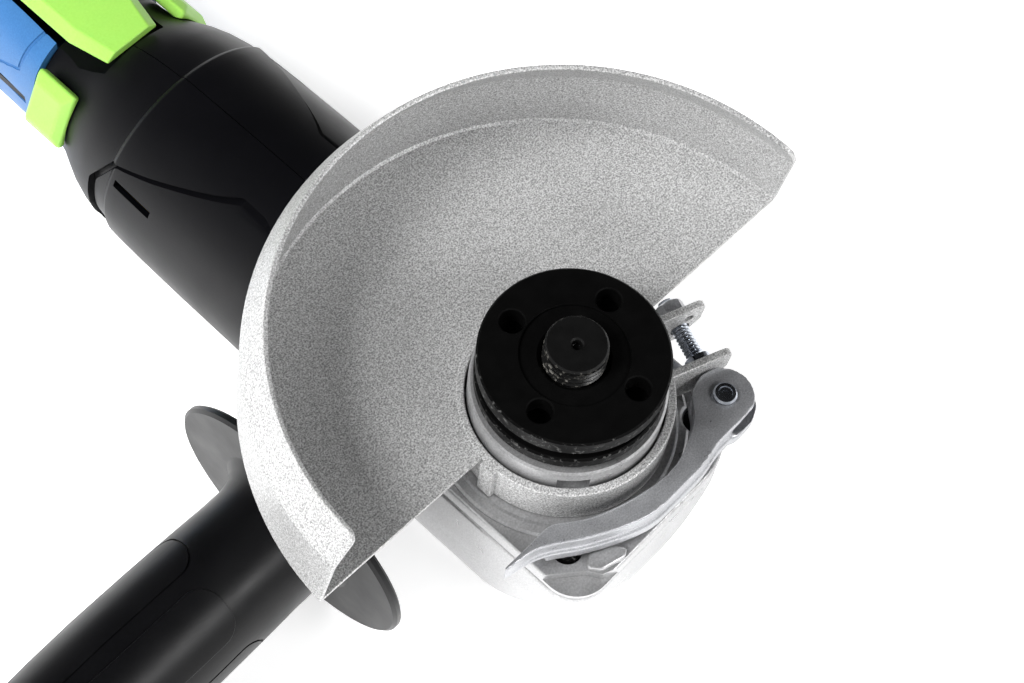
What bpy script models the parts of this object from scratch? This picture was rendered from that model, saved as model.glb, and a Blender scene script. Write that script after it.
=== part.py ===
"""Angle grinder, lying on its head with the spindle up.

Origin: where the spindle axis meets the flat top of the gear head, on which the tool rests.
+Z runs along the spindle towards its threaded end, +Y towards the rear handle, and the side
handle is screwed in on -X.  Every size below is in millimetres and becomes metres in finish().
"""
import math

import bmesh
import bpy
from mathutils import Matrix, Vector

# ---- driving dimensions, mm -------------------------------------------------
MM = 0.001
GAP = 0.3                       # clearance between neighbouring pieces

MOTOR_Z = 31.5                  # motor axis above the head's flat top
CASE_HALF = 30.0                # half width of the gear case at its joint face
CASE_NOSE = 33.0                # reach of its front, towards -Y
CASE_CORNERS = (8.5, 18.0)      # radii of its front corners, on -X and on +X
CASE_TOP = 50.0                 # joint face between gear case and bearing cover
CASE_FLANGE = (44.5, 50.0)      # round rear flange, along Y
CHAMBER_R = 26.0
CHAMBER_FLOOR = 16.0

COVER_TOP = 55.0
COLLAR_R = 21.9
COLLAR_TOP = 74.5

SPINDLE_TIP = 93.0
SPINDLE_R = 7.0                 # M14
THREAD_PITCH = 2.0
THREAD_RIDGES = 4
FLANGE_R = 21.0                 # wheel flange and clamping nut
INNER_FLANGE = (75.2, 80.0)
FLANGE_RELIEF_R = 11.6          # the clamping face is the ring outside this radius
NUT = (83.0, 88.0)
NUT_BOSS_BASE = 80.3
NUT_RECESS_R = 12.0
NUT_HOLE_R = 2.8
NUT_HOLE_PCD = 30.6
NUT_HOLE_ANGLE = 103.7

GEAR_TEETH = 28
PINION_TEETH = 9
FAN_BLADES = 8
TEETH_FAR = 22.0                # cone distance band of the bevel teeth, measured on the gear
TEETH_NEAR = 16.0
GEAR_BACK = 46.5

SHEET = 1.6                     # guard sheet
PLATE_TOP = 68.7
GUARD_R_BASE = 70.6             # inside of the wall at the plate
WALL_SHEET = 1.2                # the wall is drawn thinner than the plate
GUARD_END_Y = 1.8               # where the plane of the guard's ends crosses the plate above the spindle axis
GUARD_END_SLOPE = 0.034         # its fall towards +X
GUARD_END_LEAN = 0.118          # its lean towards -Y with height
GUARD_R_TOP = 69.3              # inside of the wall under the lip
WALL_TOP = 89.4
LIP_R = 63.6
LIP_TOP = 99.3
BAND_R = (22.4, 24.4)
BAND_BASE = 56.5

CLAMP_ANGLE = -21.0             # direction in which the two ears point
EAR_T = (-7.6, 5.4)             # ear mid-planes across the clamp, along the screw
EAR_THICK = 2.0
EAR_REACH = (38.8, 38.6)         # how far each ear reaches from the spindle axis
SCREW_S = 33.0                  # screw axis along the ears
SCREW_Z = 61.5
PIN_T = 13.6
LEVER_Z = (57.5, 65.5)
EYE_R = 6.9

HANDLE_Y = 32.7                 # side handle axis
BOSS_X = 35.6                   # boss faces on both sides of the gear case
DISC_X = (-51.5, -54.0)
DISC_R = (34.5, 31.0)
GRIP_END = -166.0

HOUSING_FRONT = 50.3
HOUSING_REAR = 155.0
SHELL_FRONT = 155.3
SHELL_REAR = 275.0
SHELL_HALF = (20.0, 23.0)       # half width and half height of the rear handle
PADDLE_PIVOT = (262.0, 49.0)
PADDLE_HALF = 9.8
PADDLE_TOP = 58.5
SWITCH_Y = 195.0

# facets round a circle, from the largest pieces to the smallest
FINE = 36
MEDIUM = 24
COARSE = 16
SMALL = 10


# ---- materials --------------------------------------------------------------
def material(name, color, roughness, metallic=0.0):
    """A Principled material in plain colour."""
    mat = bpy.data.materials.new(name)
    mat.use_nodes = True
    shader = mat.node_tree.nodes["Principled BSDF"]
    shader.inputs["Base Color"].default_value = (*color, 1.0)
    shader.inputs["Roughness"].default_value = roughness
    shader.inputs["Metallic"].default_value = metallic
    return mat


def linear(hex_color):
    """Linear RGB of an sRGB hex colour."""
    values = [int(hex_color[i:i + 2], 16) / 255.0 for i in (0, 2, 4)]
    return tuple(v / 12.92 if v <= 0.04045 else ((v + 0.055) / 1.055) ** 2.4 for v in values)


FINISHES = {
    "cast": ("C9C9C9", 0.42, 1.0),
    "sheet": ("AFAFAF", 0.55, 1.0),
    "zinc": ("8E9096", 0.38, 1.0),
    "black_oxide": ("141414", 0.35, 0.6),
    "steel": ("9FA2A6", 0.3, 1.0),
    "black_plastic": ("1E1E22", 0.5, 0.0),
    "blue_plastic": ("5B8FC4", 0.45, 0.0),
    "lime_plastic": ("A6E25A", 0.4, 0.0),
    "copper": ("B5673A", 0.4, 1.0),
    "brass": ("B89A50", 0.35, 1.0),
    "carbon": ("2A2A2A", 0.7, 0.0),
    "lamination": ("6C6E72", 0.5, 1.0),
    "rubber": ("1A1A1C", 0.75, 0.0),
}


# ---- shape helpers: every shape is a bmesh in millimetres ---------------------
def ring_faces(bm, rings, close_ends=True):
    """Skin a list of vertex rings into a tube, with flat ends."""
    for low, high in zip(rings, rings[1:]):
        count = len(low)
        for i in range(count):
            j = (i + 1) % count
            bm.faces.new((low[i], low[j], high[j], high[i]))
    if close_ends:
        bm.faces.new(tuple(reversed(rings[0])))
        bm.faces.new(tuple(rings[-1]))


def loft(sections):
    """Closed solid through sections, each a list of points in one plane."""
    bm = bmesh.new()
    rings = [[bm.verts.new(point) for point in section] for section in sections]
    ring_faces(bm, rings)
    bmesh.ops.recalc_face_normals(bm, faces=bm.faces)
    return bm


def prism(outline, low, high):
    """Outline in X and Y, extruded from z low to z high."""
    return loft([[(x, y, z) for x, y in outline] for z in (low, high)])


def box(low, high):
    """Box between two corners."""
    outline = [(low[0], low[1]), (high[0], low[1]), (high[0], high[1]), (low[0], high[1])]
    return prism(outline, low[2], high[2])


def lathe(profile, steps=MEDIUM, angle=360.0, start=0.0):
    """Turn a closed profile of (radius, height) about Z; part turns get flat ends."""
    bm = bmesh.new()
    full = angle >= 360.0
    verts = [bm.verts.new((radius, 0.0, height)) for radius, height in profile]
    edges = [bm.edges.new((a, b)) for a, b in zip(verts, verts[1:] + verts[:1])]
    if not full:
        bm.faces.new(verts)
    geometry = verts + edges + list(bm.faces)
    bmesh.ops.spin(bm, geom=geometry, cent=(0, 0, 0), axis=(0, 0, 1), dvec=(0, 0, 0),
                   angle=math.radians(angle), steps=steps, use_merge=full)
    bmesh.ops.remove_doubles(bm, verts=bm.verts, dist=0.0005)
    bmesh.ops.dissolve_degenerate(bm, edges=bm.edges, dist=0.0005)
    bmesh.ops.recalc_face_normals(bm, faces=bm.faces)
    if start:
        turn(bm, start)
    return bm


def turn(bm, degrees, axis="Z", about=(0.0, 0.0, 0.0)):
    """Rotate a shape in place."""
    bmesh.ops.rotate(bm, verts=bm.verts, cent=about,
                     matrix=Matrix.Rotation(math.radians(degrees), 3, axis))
    return bm


def move(bm, x=0.0, y=0.0, z=0.0):
    """Shift a shape in place."""
    bmesh.ops.translate(bm, verts=bm.verts, vec=(x, y, z))
    return bm


def along_y(bm):
    """Stand a shape made along Z on the motor axis, its height running along Y."""
    turn(bm, -90, "X")
    return move(bm, z=MOTOR_Z)


def along_x(bm):
    """Lay a shape made along Z on the side handle's axis, its height running along X."""
    turn(bm, 90, "Y")
    return move(bm, y=HANDLE_Y, z=MOTOR_Z)


def rod(radius, low, high, steps=SMALL, bore=0.0):
    """Round bar or tube along Z."""
    if bore:
        return lathe([(bore, low), (radius, low), (radius, high), (bore, high)], steps)
    return lathe([(0, low), (radius, low), (radius, high), (0, high)], steps)


def combine(first, second, operation):
    """Exact Boolean of two shapes, which are used up."""
    objects = []
    for shape in (first, second):
        mesh = bpy.data.meshes.new("work")
        shape.to_mesh(mesh)
        shape.free()
        objects.append(bpy.data.objects.new("work", mesh))
        bpy.context.collection.objects.link(objects[-1])
    modifier = objects[0].modifiers.new("join", "BOOLEAN")
    modifier.operation = operation
    modifier.object = objects[1]
    modifier.solver = "EXACT"
    evaluated = objects[0].evaluated_get(bpy.context.evaluated_depsgraph_get())
    result = bmesh.new()
    result.from_mesh(evaluated.to_mesh())
    for obj in objects:
        mesh = obj.data
        bpy.data.objects.remove(obj)
        bpy.data.meshes.remove(mesh)
    bmesh.ops.remove_doubles(result, verts=result.verts, dist=0.0005)
    bmesh.ops.dissolve_degenerate(result, edges=result.edges, dist=0.0005)
    bmesh.ops.dissolve_limit(result, angle_limit=math.radians(0.1), verts=result.verts, edges=result.edges)
    return result


def join(first, *others):
    """Union."""
    for other in others:
        first = combine(first, other, "UNION")
    return first


def cut(first, *others):
    """First shape less the others."""
    for other in others:
        first = combine(first, other, "DIFFERENCE")
    return first


def common(first, second):
    """What two shapes share."""
    return combine(first, second, "INTERSECT")


def finish(name, bm, look, origin=(0.0, 0.0, 0.0), parent=None):
    """Make the named object, with its origin where its joint needs it."""
    bmesh.ops.translate(bm, verts=bm.verts, vec=[-value for value in origin])
    bmesh.ops.scale(bm, verts=bm.verts, vec=(MM, MM, MM))
    mesh = bpy.data.meshes.new(name)
    bm.to_mesh(mesh)
    bm.free()
    mesh.materials.append(LOOKS[look])
    mesh.shade_smooth()
    mesh.set_sharp_from_angle(angle=math.radians(30))
    obj = bpy.data.objects.new(name, mesh)
    bpy.context.collection.objects.link(obj)
    obj.location = Vector(origin) * MM
    if parent:
        obj.parent = parent
        obj.location = Vector(origin) * MM - parent.location
    return obj


def empty(name, origin):
    """Empty on a joint's axis."""
    obj = bpy.data.objects.new(name, None)
    obj.location = Vector(origin) * MM
    bpy.context.collection.objects.link(obj)
    return obj


def head_outline(half, nose, corners, rear, rear_corner=0.0, steps=5):
    """Plan of the head: two round front corners, and a rear edge that may be rounded too."""
    points = []
    left, right = corners
    for first, radius, cx, cy in ((0, rear_corner, half - rear_corner, rear - rear_corner),
                                  (90, rear_corner, rear_corner - half, rear - rear_corner),
                                  (180, left, left - half, left - nose), (270, right, half - right, right - nose)):
        for i in range(steps + 1 if radius else 1):
            angle = math.radians(first + 90 * i / steps)
            points.append((cx + radius * math.cos(angle), cy + radius * math.sin(angle)))
    return points


def superellipse(half_x, half_z, power, count):
    """Rounded cross-section of the rear handle, as (x, z) about its middle."""
    points = []
    for i in range(count):
        angle = 2 * math.pi * i / count
        c = math.cos(angle)
        s = math.sin(angle)
        points.append((half_x * math.copysign(abs(c) ** (2 / power), c),
                       half_z * math.copysign(abs(s) ** (2 / power), s)))
    return points


def spring(radius, wire, low, high, turns, steps=8, sides=4):
    """Compression spring along Z, a helix of round wire."""
    sections = []
    total = turns * steps
    for i in range(total + 1):
        angle = 2 * math.pi * i / steps
        height = low + wire + (high - low - 2 * wire) * i / total
        out = Vector((math.cos(angle), math.sin(angle), 0))
        sections.append([out * (radius + wire * math.cos(a)) + Vector((0, 0, height + wire * math.sin(a)))
                         for a in (2 * math.pi * k / sides for k in range(sides))])
    return loft(sections)


# ---- gear head ----------------------------------------------------------------
COVER_SCREWS = [(22.0, 22.0), (-22.0, 22.0), (-22.0, -22.0), (22.0, -22.0)]
HOUSING_SCREWS = [(19.0, 52.0), (-19.0, 52.0), (-23.5, 15.0), (23.5, 15.0)]     # x, z
LOCK_Y = -12.0


def gear_case():
    """Die-cast gear case: domed head, round motor flange, bosses for the side handle."""
    levels = [(0.0, 18.5, 20.5, (17.0, 17.0)), (2.0, 21.0, 23.0, (19.5, 19.5)), (9.0, 25.4, 27.4, (24.0, 24.0)),
              (20.0, 28.8, 30.8, (27.0, 27.0)), (34.0, CASE_HALF, CASE_NOSE, (21.0, 24.0)),
              (44.0, CASE_HALF, CASE_NOSE, (10.0, CASE_CORNERS[1])),
              (CASE_TOP - GAP, CASE_HALF, CASE_NOSE, CASE_CORNERS)]
    body = loft([[(x, y, z) for x, y in head_outline(half, nose, corners, CASE_FLANGE[0] + 1)]
                 for z, half, nose, corners in levels])
    flange = along_y(rod(31.3, *CASE_FLANGE, steps=FINE))
    boss = rod(13.0, -BOSS_X, BOSS_X, steps=MEDIUM)
    case = join(body, flange, along_x(boss))
    case = cut(case, rod(CHAMBER_R, CHAMBER_FLOOR, 60, steps=MEDIUM))
    case = cut(case, rod(5.5, 5.0, 20, COARSE))
    case = cut(case, move(rod(5.5, -1, 13.0, COARSE), y=LOCK_Y))
    case = cut(case, move(rod(2.3, 12, 18), y=LOCK_Y))
    case = cut(case, along_y(rod(10.0, 20, 40, COARSE)), along_y(rod(13.1, 36.0, 52, COARSE)))
    for side in (-1, 1):
        case = cut(case, along_x(rod(4.3, min(side * 18, side * 40), max(side * 18, side * 40))))
    for x, z in HOUSING_SCREWS:
        outer = math.copysign(42, x)
        if z > MOTOR_Z:
            pocket = box((min(x - 3.6, x + 3.6), 38, z - 3.6), (x + 3.6, CASE_FLANGE[0], 66))
        else:
            inner = x - math.copysign(3.6, x)
            pocket = box((min(inner, outer), 37, z - 3.6), (max(inner, outer), CASE_FLANGE[0], z + 3.6))
        case = cut(case, pocket, move(turn(rod(2.2, 44, 52), -90, "X"), x=x, z=z))
    for x, y in COVER_SCREWS:
        case = cut(case, move(rod(2.2, 36, 52), x=x, y=y))
    finish("gear_case", case, "cast")


def bearing_cover():
    """Cover that closes the case, holds the spindle bearing and carries the guard's collar."""
    plate = prism(head_outline(CASE_HALF, CASE_NOSE, CASE_CORNERS, 33.0, 12.0), CASE_TOP, COVER_TOP)
    collar = lathe([(0, CASE_TOP + 1), (25.5, CASE_TOP + 1), (25.5, COVER_TOP + 1.1), (COLLAR_R, COVER_TOP + 1.1),
                    (COLLAR_R, COLLAR_TOP), (0, COLLAR_TOP)], FINE)
    cover = join(plate, collar)
    cover = cut(cover, rod(17.5, CASE_TOP - 1, 61.5, MEDIUM), rod(9.5, 60, COLLAR_TOP + 1, COARSE))
    cover = cut(cover, rod(18.5, 71.5, COLLAR_TOP + 1, MEDIUM))
    for x, y in COVER_SCREWS:
        cover = cut(cover, move(rod(2.3, 49, 60), x=x, y=y), move(rod(3.6, COVER_TOP - 2.5, 60), x=x, y=y))
    notch = turn(box((19.6, -4.0, 66.0), (25.0, 4.0, 69.8)), 226)
    cover = cut(cover, notch)
    finish("bearing_cover", cover, "cast")


def cap_screw(name, x, y):
    """Cover screw, its head sunk in the cover."""
    head = COVER_TOP - 2.2
    body = lathe([(0, 38.5), (1.8, 38.5), (1.8, head), (3.2, head), (3.2, COVER_TOP), (0, COVER_TOP)], SMALL)
    finish(name, move(body, x=x, y=y), "steel")


def housing_screw(name, x, z):
    """Screw through the case flange into the motor housing."""
    low, high = CASE_FLANGE
    body = lathe([(0, low - 3.0), (3.2, low - 3.0), (3.2, low - GAP), (1.8, low - GAP), (1.8, high + 12),
                  (0, high + 12)], SMALL)
    finish(name, move(turn(body, -90, "X"), x=x, z=z), "steel")


def lock_button():
    """Recessed push button whose pin drops into a hole of the crown gear."""
    body = lathe([(0, 0.9), (4.6, 0.9), (5.2, 1.5), (5.2, 6.0), (2.0, 6.0), (2.0, 35.4), (0, 35.4)], SMALL)
    finish("lock_button", move(body, y=LOCK_Y), "black_plastic", (0, LOCK_Y, 6))
    finish("lock_spring", move(spring(3.8, 0.45, 6.3, 12.7, 3), y=LOCK_Y), "steel", (0, LOCK_Y, 12.7))


# ---- spindle group --------------------------------------------------------------
def spindle(hub):
    """Spindle with bush journal, gear seat, bearing seat and the M14 thread."""
    profile = [(0, 6.0), (3.0, 6.0), (3.0, 15.5), (6.0, 17.0), (6.0, 35.4), (5.4, 35.4), (5.4, 36.7),
               (6.0, 36.7), (6.0, 46.8), (8.6, 46.8), (8.6, 50.5), (7.5, 50.5), (7.5, 61.5), (7.0, 61.5)]
    root = SPINDLE_R - 0.95
    height = SPINDLE_TIP - 1.0 - THREAD_RIDGES * THREAD_PITCH
    profile += [(SPINDLE_R, height)]
    for _ in range(THREAD_RIDGES):
        profile += [(root, height + THREAD_PITCH * 0.5), (SPINDLE_R, height + THREAD_PITCH)]
        height += THREAD_PITCH
    profile += [(5.9, SPINDLE_TIP), (1.25, SPINDLE_TIP), (0, SPINDLE_TIP - 2.5)]
    finish("spindle", lathe(profile, COARSE), "steel", parent=hub)


TOOTH_MARKS = (0.17, 0.33, 0.43, 0.59)      # root, tip, tip, root, as parts of the pitch
TOOTH_MIDDLE = 0.38
GEAR_TIP = 0.2                  # how far the teeth stand past the pitch cone, at the outer end
PINION_TIP = 0.25


def bevel_wheel(teeth, inner, outer, back, bore, hub_level):
    """Bevel wheel about Z, its teeth facing down.  Each end of the teeth is given as
    (radius, tip height, root height)."""
    bm = bmesh.new()
    rings = []
    core = inner[0] - 1.5
    levels = [(core, hub_level, hub_level), (inner[0] - 0.1, hub_level, hub_level), inner, outer,
              (outer[0], back, back), (core, back, back)]
    for radius, tip, base in levels:
        ring = []
        for k in range(teeth):
            for n, mark in enumerate(TOOTH_MARKS):
                angle = 2 * math.pi * (k + mark) / teeth
                height = tip if n in (1, 2) else base
                ring.append(bm.verts.new((radius * math.cos(angle), radius * math.sin(angle), height)))
        rings.append(ring)
    rings.append(rings[0])
    ring_faces(bm, rings, close_ends=False)
    bmesh.ops.recalc_face_normals(bm, faces=bm.faces)
    turn(bm, 90 - 360 * (0.5 + TOOTH_MIDDLE) / teeth)
    return join(bm, rod(inner[0] - 1.0, hub_level, back, MEDIUM, bore))


def crown_gear(hub):
    """Large bevel gear, with four holes for the spindle lock."""
    slope = PINION_TEETH / GEAR_TEETH
    rings = []
    for radius in (TEETH_NEAR, TEETH_FAR):
        size = radius / TEETH_FAR
        pitch = MOTOR_Z + radius * slope
        rings.append((radius, pitch - GEAR_TIP * size, pitch + 1.6 * size))
    gear = bevel_wheel(GEAR_TEETH, rings[0], rings[1], GEAR_BACK, 6.3, 37.6)
    for k in range(4):
        gear = cut(gear, turn(move(rod(2.6, 30, 50), y=LOCK_Y), 90 * k))
    finish("crown_gear", gear, "steel", parent=hub)


def pinion(axis):
    """Small bevel gear on the motor shaft."""
    bm = bmesh.new()
    slope = PINION_TEETH / GEAR_TEETH
    rings = []
    for height in (TEETH_NEAR - 0.3, TEETH_FAR):
        size = height / TEETH_FAR
        tip = height * slope + PINION_TIP * size
        base = height * slope - 1.7 * size
        ring = []
        for k in range(PINION_TEETH):
            for n, mark in enumerate(TOOTH_MARKS):
                angle = 2 * math.pi * (k + mark) / PINION_TEETH
                radius = tip if n in (1, 2) else base
                ring.append(bm.verts.new((radius * math.cos(angle), radius * math.sin(angle), height)))
        rings.append(ring)
    ring_faces(bm, rings)
    bmesh.ops.recalc_face_normals(bm, faces=bm.faces)
    turn(bm, -90 - 360 * TOOTH_MIDDLE / PINION_TEETH)
    wheel = cut(join(bm, rod(6.6, TEETH_FAR - 1, 28, COARSE)), rod(2.9, 10, 30))
    finish("pinion", along_y(wheel), "steel", (0, 20, MOTOR_Z), parent=axis)


def spindle_group():
    """Everything that turns with the spindle, and the bearings that carry it."""
    hub = empty("spindle_axis", (0, 0, 0))
    spindle(hub)
    crown_gear(hub)
    ring = lathe([(5.7, 35.7), (8.2, 35.7), (8.2, 36.5), (5.7, 36.5)], COARSE)
    finish("gear_circlip", ring, "steel", parent=hub)
    finish("spindle_bush", rod(5.2, 5.3, 14.5, bore=3.3), "brass")
    finish("spindle_bearing", rod(17.2, 50.8, 61.2, MEDIUM, 7.8), "steel")
    low, high = INNER_FLANGE
    ring = lathe([(7.3, low), (FLANGE_R, low), (FLANGE_R, high), (FLANGE_RELIEF_R, high),
                  (FLANGE_RELIEF_R, high - 0.5), (7.3, high - 0.5)], FINE)
    finish("inner_flange", ring, "black_oxide", parent=hub)
    low, high = NUT
    nut = lathe([(7.3, NUT_BOSS_BASE), (11.0, NUT_BOSS_BASE), (11.0, low), (FLANGE_R, low), (FLANGE_R, high),
                 (NUT_RECESS_R, high), (NUT_RECESS_R, high - 0.7), (7.3, high - 0.7)], FINE)
    for k in range(4):
        hole = move(rod(NUT_HOLE_R, low - 1, high + 1), x=NUT_HOLE_PCD / 2)
        nut = cut(nut, turn(hole, NUT_HOLE_ANGLE + 90 * k))
    finish("wheel_nut", nut, "black_oxide", parent=hub)


# ---- guard and its clamp ----------------------------------------------------------
def clamp_point(s, t):
    """Point in X and Y, s along the ears and t along the clamp screw."""
    angle = math.radians(CLAMP_ANGLE)
    u = Vector((math.cos(angle), math.sin(angle)))
    n = Vector((math.sin(angle), -math.cos(angle)))
    return u * s + n * t


def clamp_rod(radius, start, end, steps=SMALL):
    """Round bar along the clamp screw's axis, between two values of t."""
    bar = rod(radius, start, end, steps)
    turn(bar, 90, "X")
    turn(bar, CLAMP_ANGLE)
    point = clamp_point(SCREW_S, 0)
    return move(bar, x=point.x, y=point.y, z=SCREW_Z)


def guard_ends(radius, height):
    """Angles between which the guard runs: its two ends lie in one plane that leans towards -Y."""
    tilt = math.atan(GUARD_END_SLOPE)
    reach = GUARD_END_Y - GUARD_END_LEAN * (height - PLATE_TOP)
    half = math.asin(reach * math.cos(tilt) / radius)
    return half - tilt, math.pi - half - tilt


def guard_shell(hub):
    """Half cup of pressed sheet: plate, wall and an inward lip."""
    under = PLATE_TOP - SHEET
    profile = [(BAND_R[1] + GAP, under), (GUARD_R_BASE - 0.6, under), (GUARD_R_BASE + WALL_SHEET, under + 2.2),
               (GUARD_R_TOP + WALL_SHEET, WALL_TOP + 0.4), (LIP_R + 1.2, LIP_TOP + 0.9), (LIP_R, LIP_TOP - 0.2),
               (GUARD_R_TOP - 0.4, WALL_TOP - 0.2), (GUARD_R_BASE, PLATE_TOP + 1.6),
               (GUARD_R_BASE - 1.6, PLATE_TOP), (BAND_R[1] + GAP, PLATE_TOP)]
    steps = 30
    sections = []
    for i in range(steps + 1):
        section = []
        for radius, height in profile:
            start, end = guard_ends(radius, height)
            angle = start + (end - start) * i / steps
            section.append((radius * math.cos(angle), radius * math.sin(angle), height))
        sections.append(section)
    finish("guard_shell", loft(sections), "sheet", parent=hub)


def guard_band(hub):
    """Split band round the collar, with two bent ears that the screw pulls together."""
    inner, outer = BAND_R
    band = rod(outer, BAND_BASE, PLATE_TOP, FINE, inner)
    low, high = EAR_T
    mouth = [clamp_point(10, low + EAR_THICK / 2), clamp_point(50, low + EAR_THICK / 2),
             clamp_point(50, high - EAR_THICK / 2), clamp_point(10, high - EAR_THICK / 2)]
    band = cut(band, prism([(p.x, p.y) for p in mouth], 40, 80))
    top = PLATE_TOP
    for t, reach in zip(EAR_T, EAR_REACH):
        start = math.sqrt(inner ** 2 - t ** 2) + 0.8
        outline = [(start, BAND_BASE), (reach - 6.0, BAND_BASE), (reach - 0.5, BAND_BASE + 6.5),
                   (reach, top - 1.0), (reach - 1.0, top), (start, top)]
        sections = []
        for side in (t - EAR_THICK / 2, t + EAR_THICK / 2):
            flat = [(clamp_point(s, side), z) for s, z in outline]
            sections.append([(p.x, p.y, z) for p, z in flat])
        band = join(band, loft(sections))
    band = cut(band, clamp_rod(2.3, -12, 9))
    finish("guard_band", band, "sheet", parent=hub)


def clamp_screw(hub):
    """Eye bolt through both ears; the lever's pin crosses its eye."""
    eye = clamp_point(SCREW_S, PIN_T)
    bolt = join(clamp_rod(1.9, -14.0, PIN_T - 1.5), move(rod(3.6, 59.8, 63.2), x=eye.x, y=eye.y))
    bolt = join(bolt, clamp_rod(3.1, 1.2, EAR_T[1] - EAR_THICK / 2 - GAP))
    bolt = cut(bolt, move(rod(2.2, 50, 70), x=eye.x, y=eye.y))
    finish("clamp_screw", bolt, "steel", parent=hub)
    nut = cut(clamp_rod(3.9, -12.8, EAR_T[0] - EAR_THICK / 2 - GAP, 6), clamp_rod(2.2, -20, 0))
    finish("clamp_nut", nut, "steel", parent=hub)
    low, high = LEVER_Z
    pin = lathe([(0, low - 0.7), (1.9, low - 0.7), (1.9, high + GAP), (2.7, high + GAP), (2.7, high + 1.5),
                 (0, high + 1.5)], SMALL)
    finish("lever_pin", move(pin, x=eye.x, y=eye.y), "steel", parent=hub)


LEVER_INNER = ((20.4, -19.9), (17.5, -23.0), (12.7, -25.6), (8.0, -27.4), (2.6, -28.0), (-2.9, -27.3),
               (-10.1, -25.4), (-17.4, -22.4), (-23.4, -18.0), (-26.6, -17.4), (-31.5, -17.4), (-38.6, -17.2))
LEVER_OUTER = ((-38.4, -17.9), (-31.3, -19.4), (-27.0, -21.3), (-21.6, -25.0), (-16.6, -27.8), (-12.0, -29.9),
               (-6.3, -31.8), (0.2, -32.3), (9.6, -32.1), (16.8, -30.9), (22.6, -31.0), (27.0, -31.1))


def lever_outline():
    """Outline of the clamp lever: round eye, arm wrapped round the band, finger tip."""
    eye = clamp_point(SCREW_S, PIN_T)
    points = []
    for angle in range(-60, 121, 20):
        a = math.radians(angle)
        points.append((eye.x + EYE_R * math.cos(a), eye.y + EYE_R * math.sin(a)))
    return points + list(LEVER_INNER) + list(LEVER_OUTER)


def clamp_lever(hub):
    """Cast lever, forked at its eye."""
    eye = clamp_point(SCREW_S, PIN_T)
    low, high = LEVER_Z
    outline = lever_outline()
    body = prism(outline, low, high)
    slot = move(rod(EYE_R + 0.6, 59.3, 63.7, COARSE), x=eye.x, y=eye.y)
    hole = move(rod(2.2, 50, 70), x=eye.x, y=eye.y)
    body = cut(body, slot, hole)
    finish("clamp_lever", body, "zinc", (eye.x, eye.y, low), parent=hub)


def guard_group():
    """Guard, band and clamp, all turning about the collar."""
    hub = empty("guard_axis", (0, 0, 0))
    guard_shell(hub)
    guard_band(hub)
    clamp_screw(hub)
    clamp_lever(hub)


# ---- side handle -------------------------------------------------------------------
def side_handle():
    """Moulded grip with an oval finger disc, and the M8 stud moulded into it."""
    inner, outer = DISC_X
    profile = [(0, -BOSS_X - GAP), (11.0, -BOSS_X - GAP), (12.5, inner + 1), (13.2, outer), (15.2, -63.0),
               (16.2, -90.0), (16.2, -115.0), (14.7, -146.0), (14.9, -155.0), (13.8, -161.0),
               (9.0, GRIP_END + 0.8), (0, GRIP_END)]
    grip = lathe([(radius, x) for radius, x in reversed(profile)], 20)
    disc = rod(DISC_R[0], outer, inner, FINE)
    bmesh.ops.scale(disc, verts=disc.verts, vec=(DISC_R[1] / DISC_R[0], 1, 1))
    grip = join(along_x(grip), along_x(disc))
    grip = cut(grip, along_x(rod(4.3, -60, -30)))
    finish("side_handle_grip", grip, "rubber", (-BOSS_X, HANDLE_Y, MOTOR_Z))
    stud = rod(3.9, -59.0, -20.0)
    finish("side_handle_stud", along_x(stud), "steel", (-BOSS_X, HANDLE_Y, MOTOR_Z))


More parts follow.
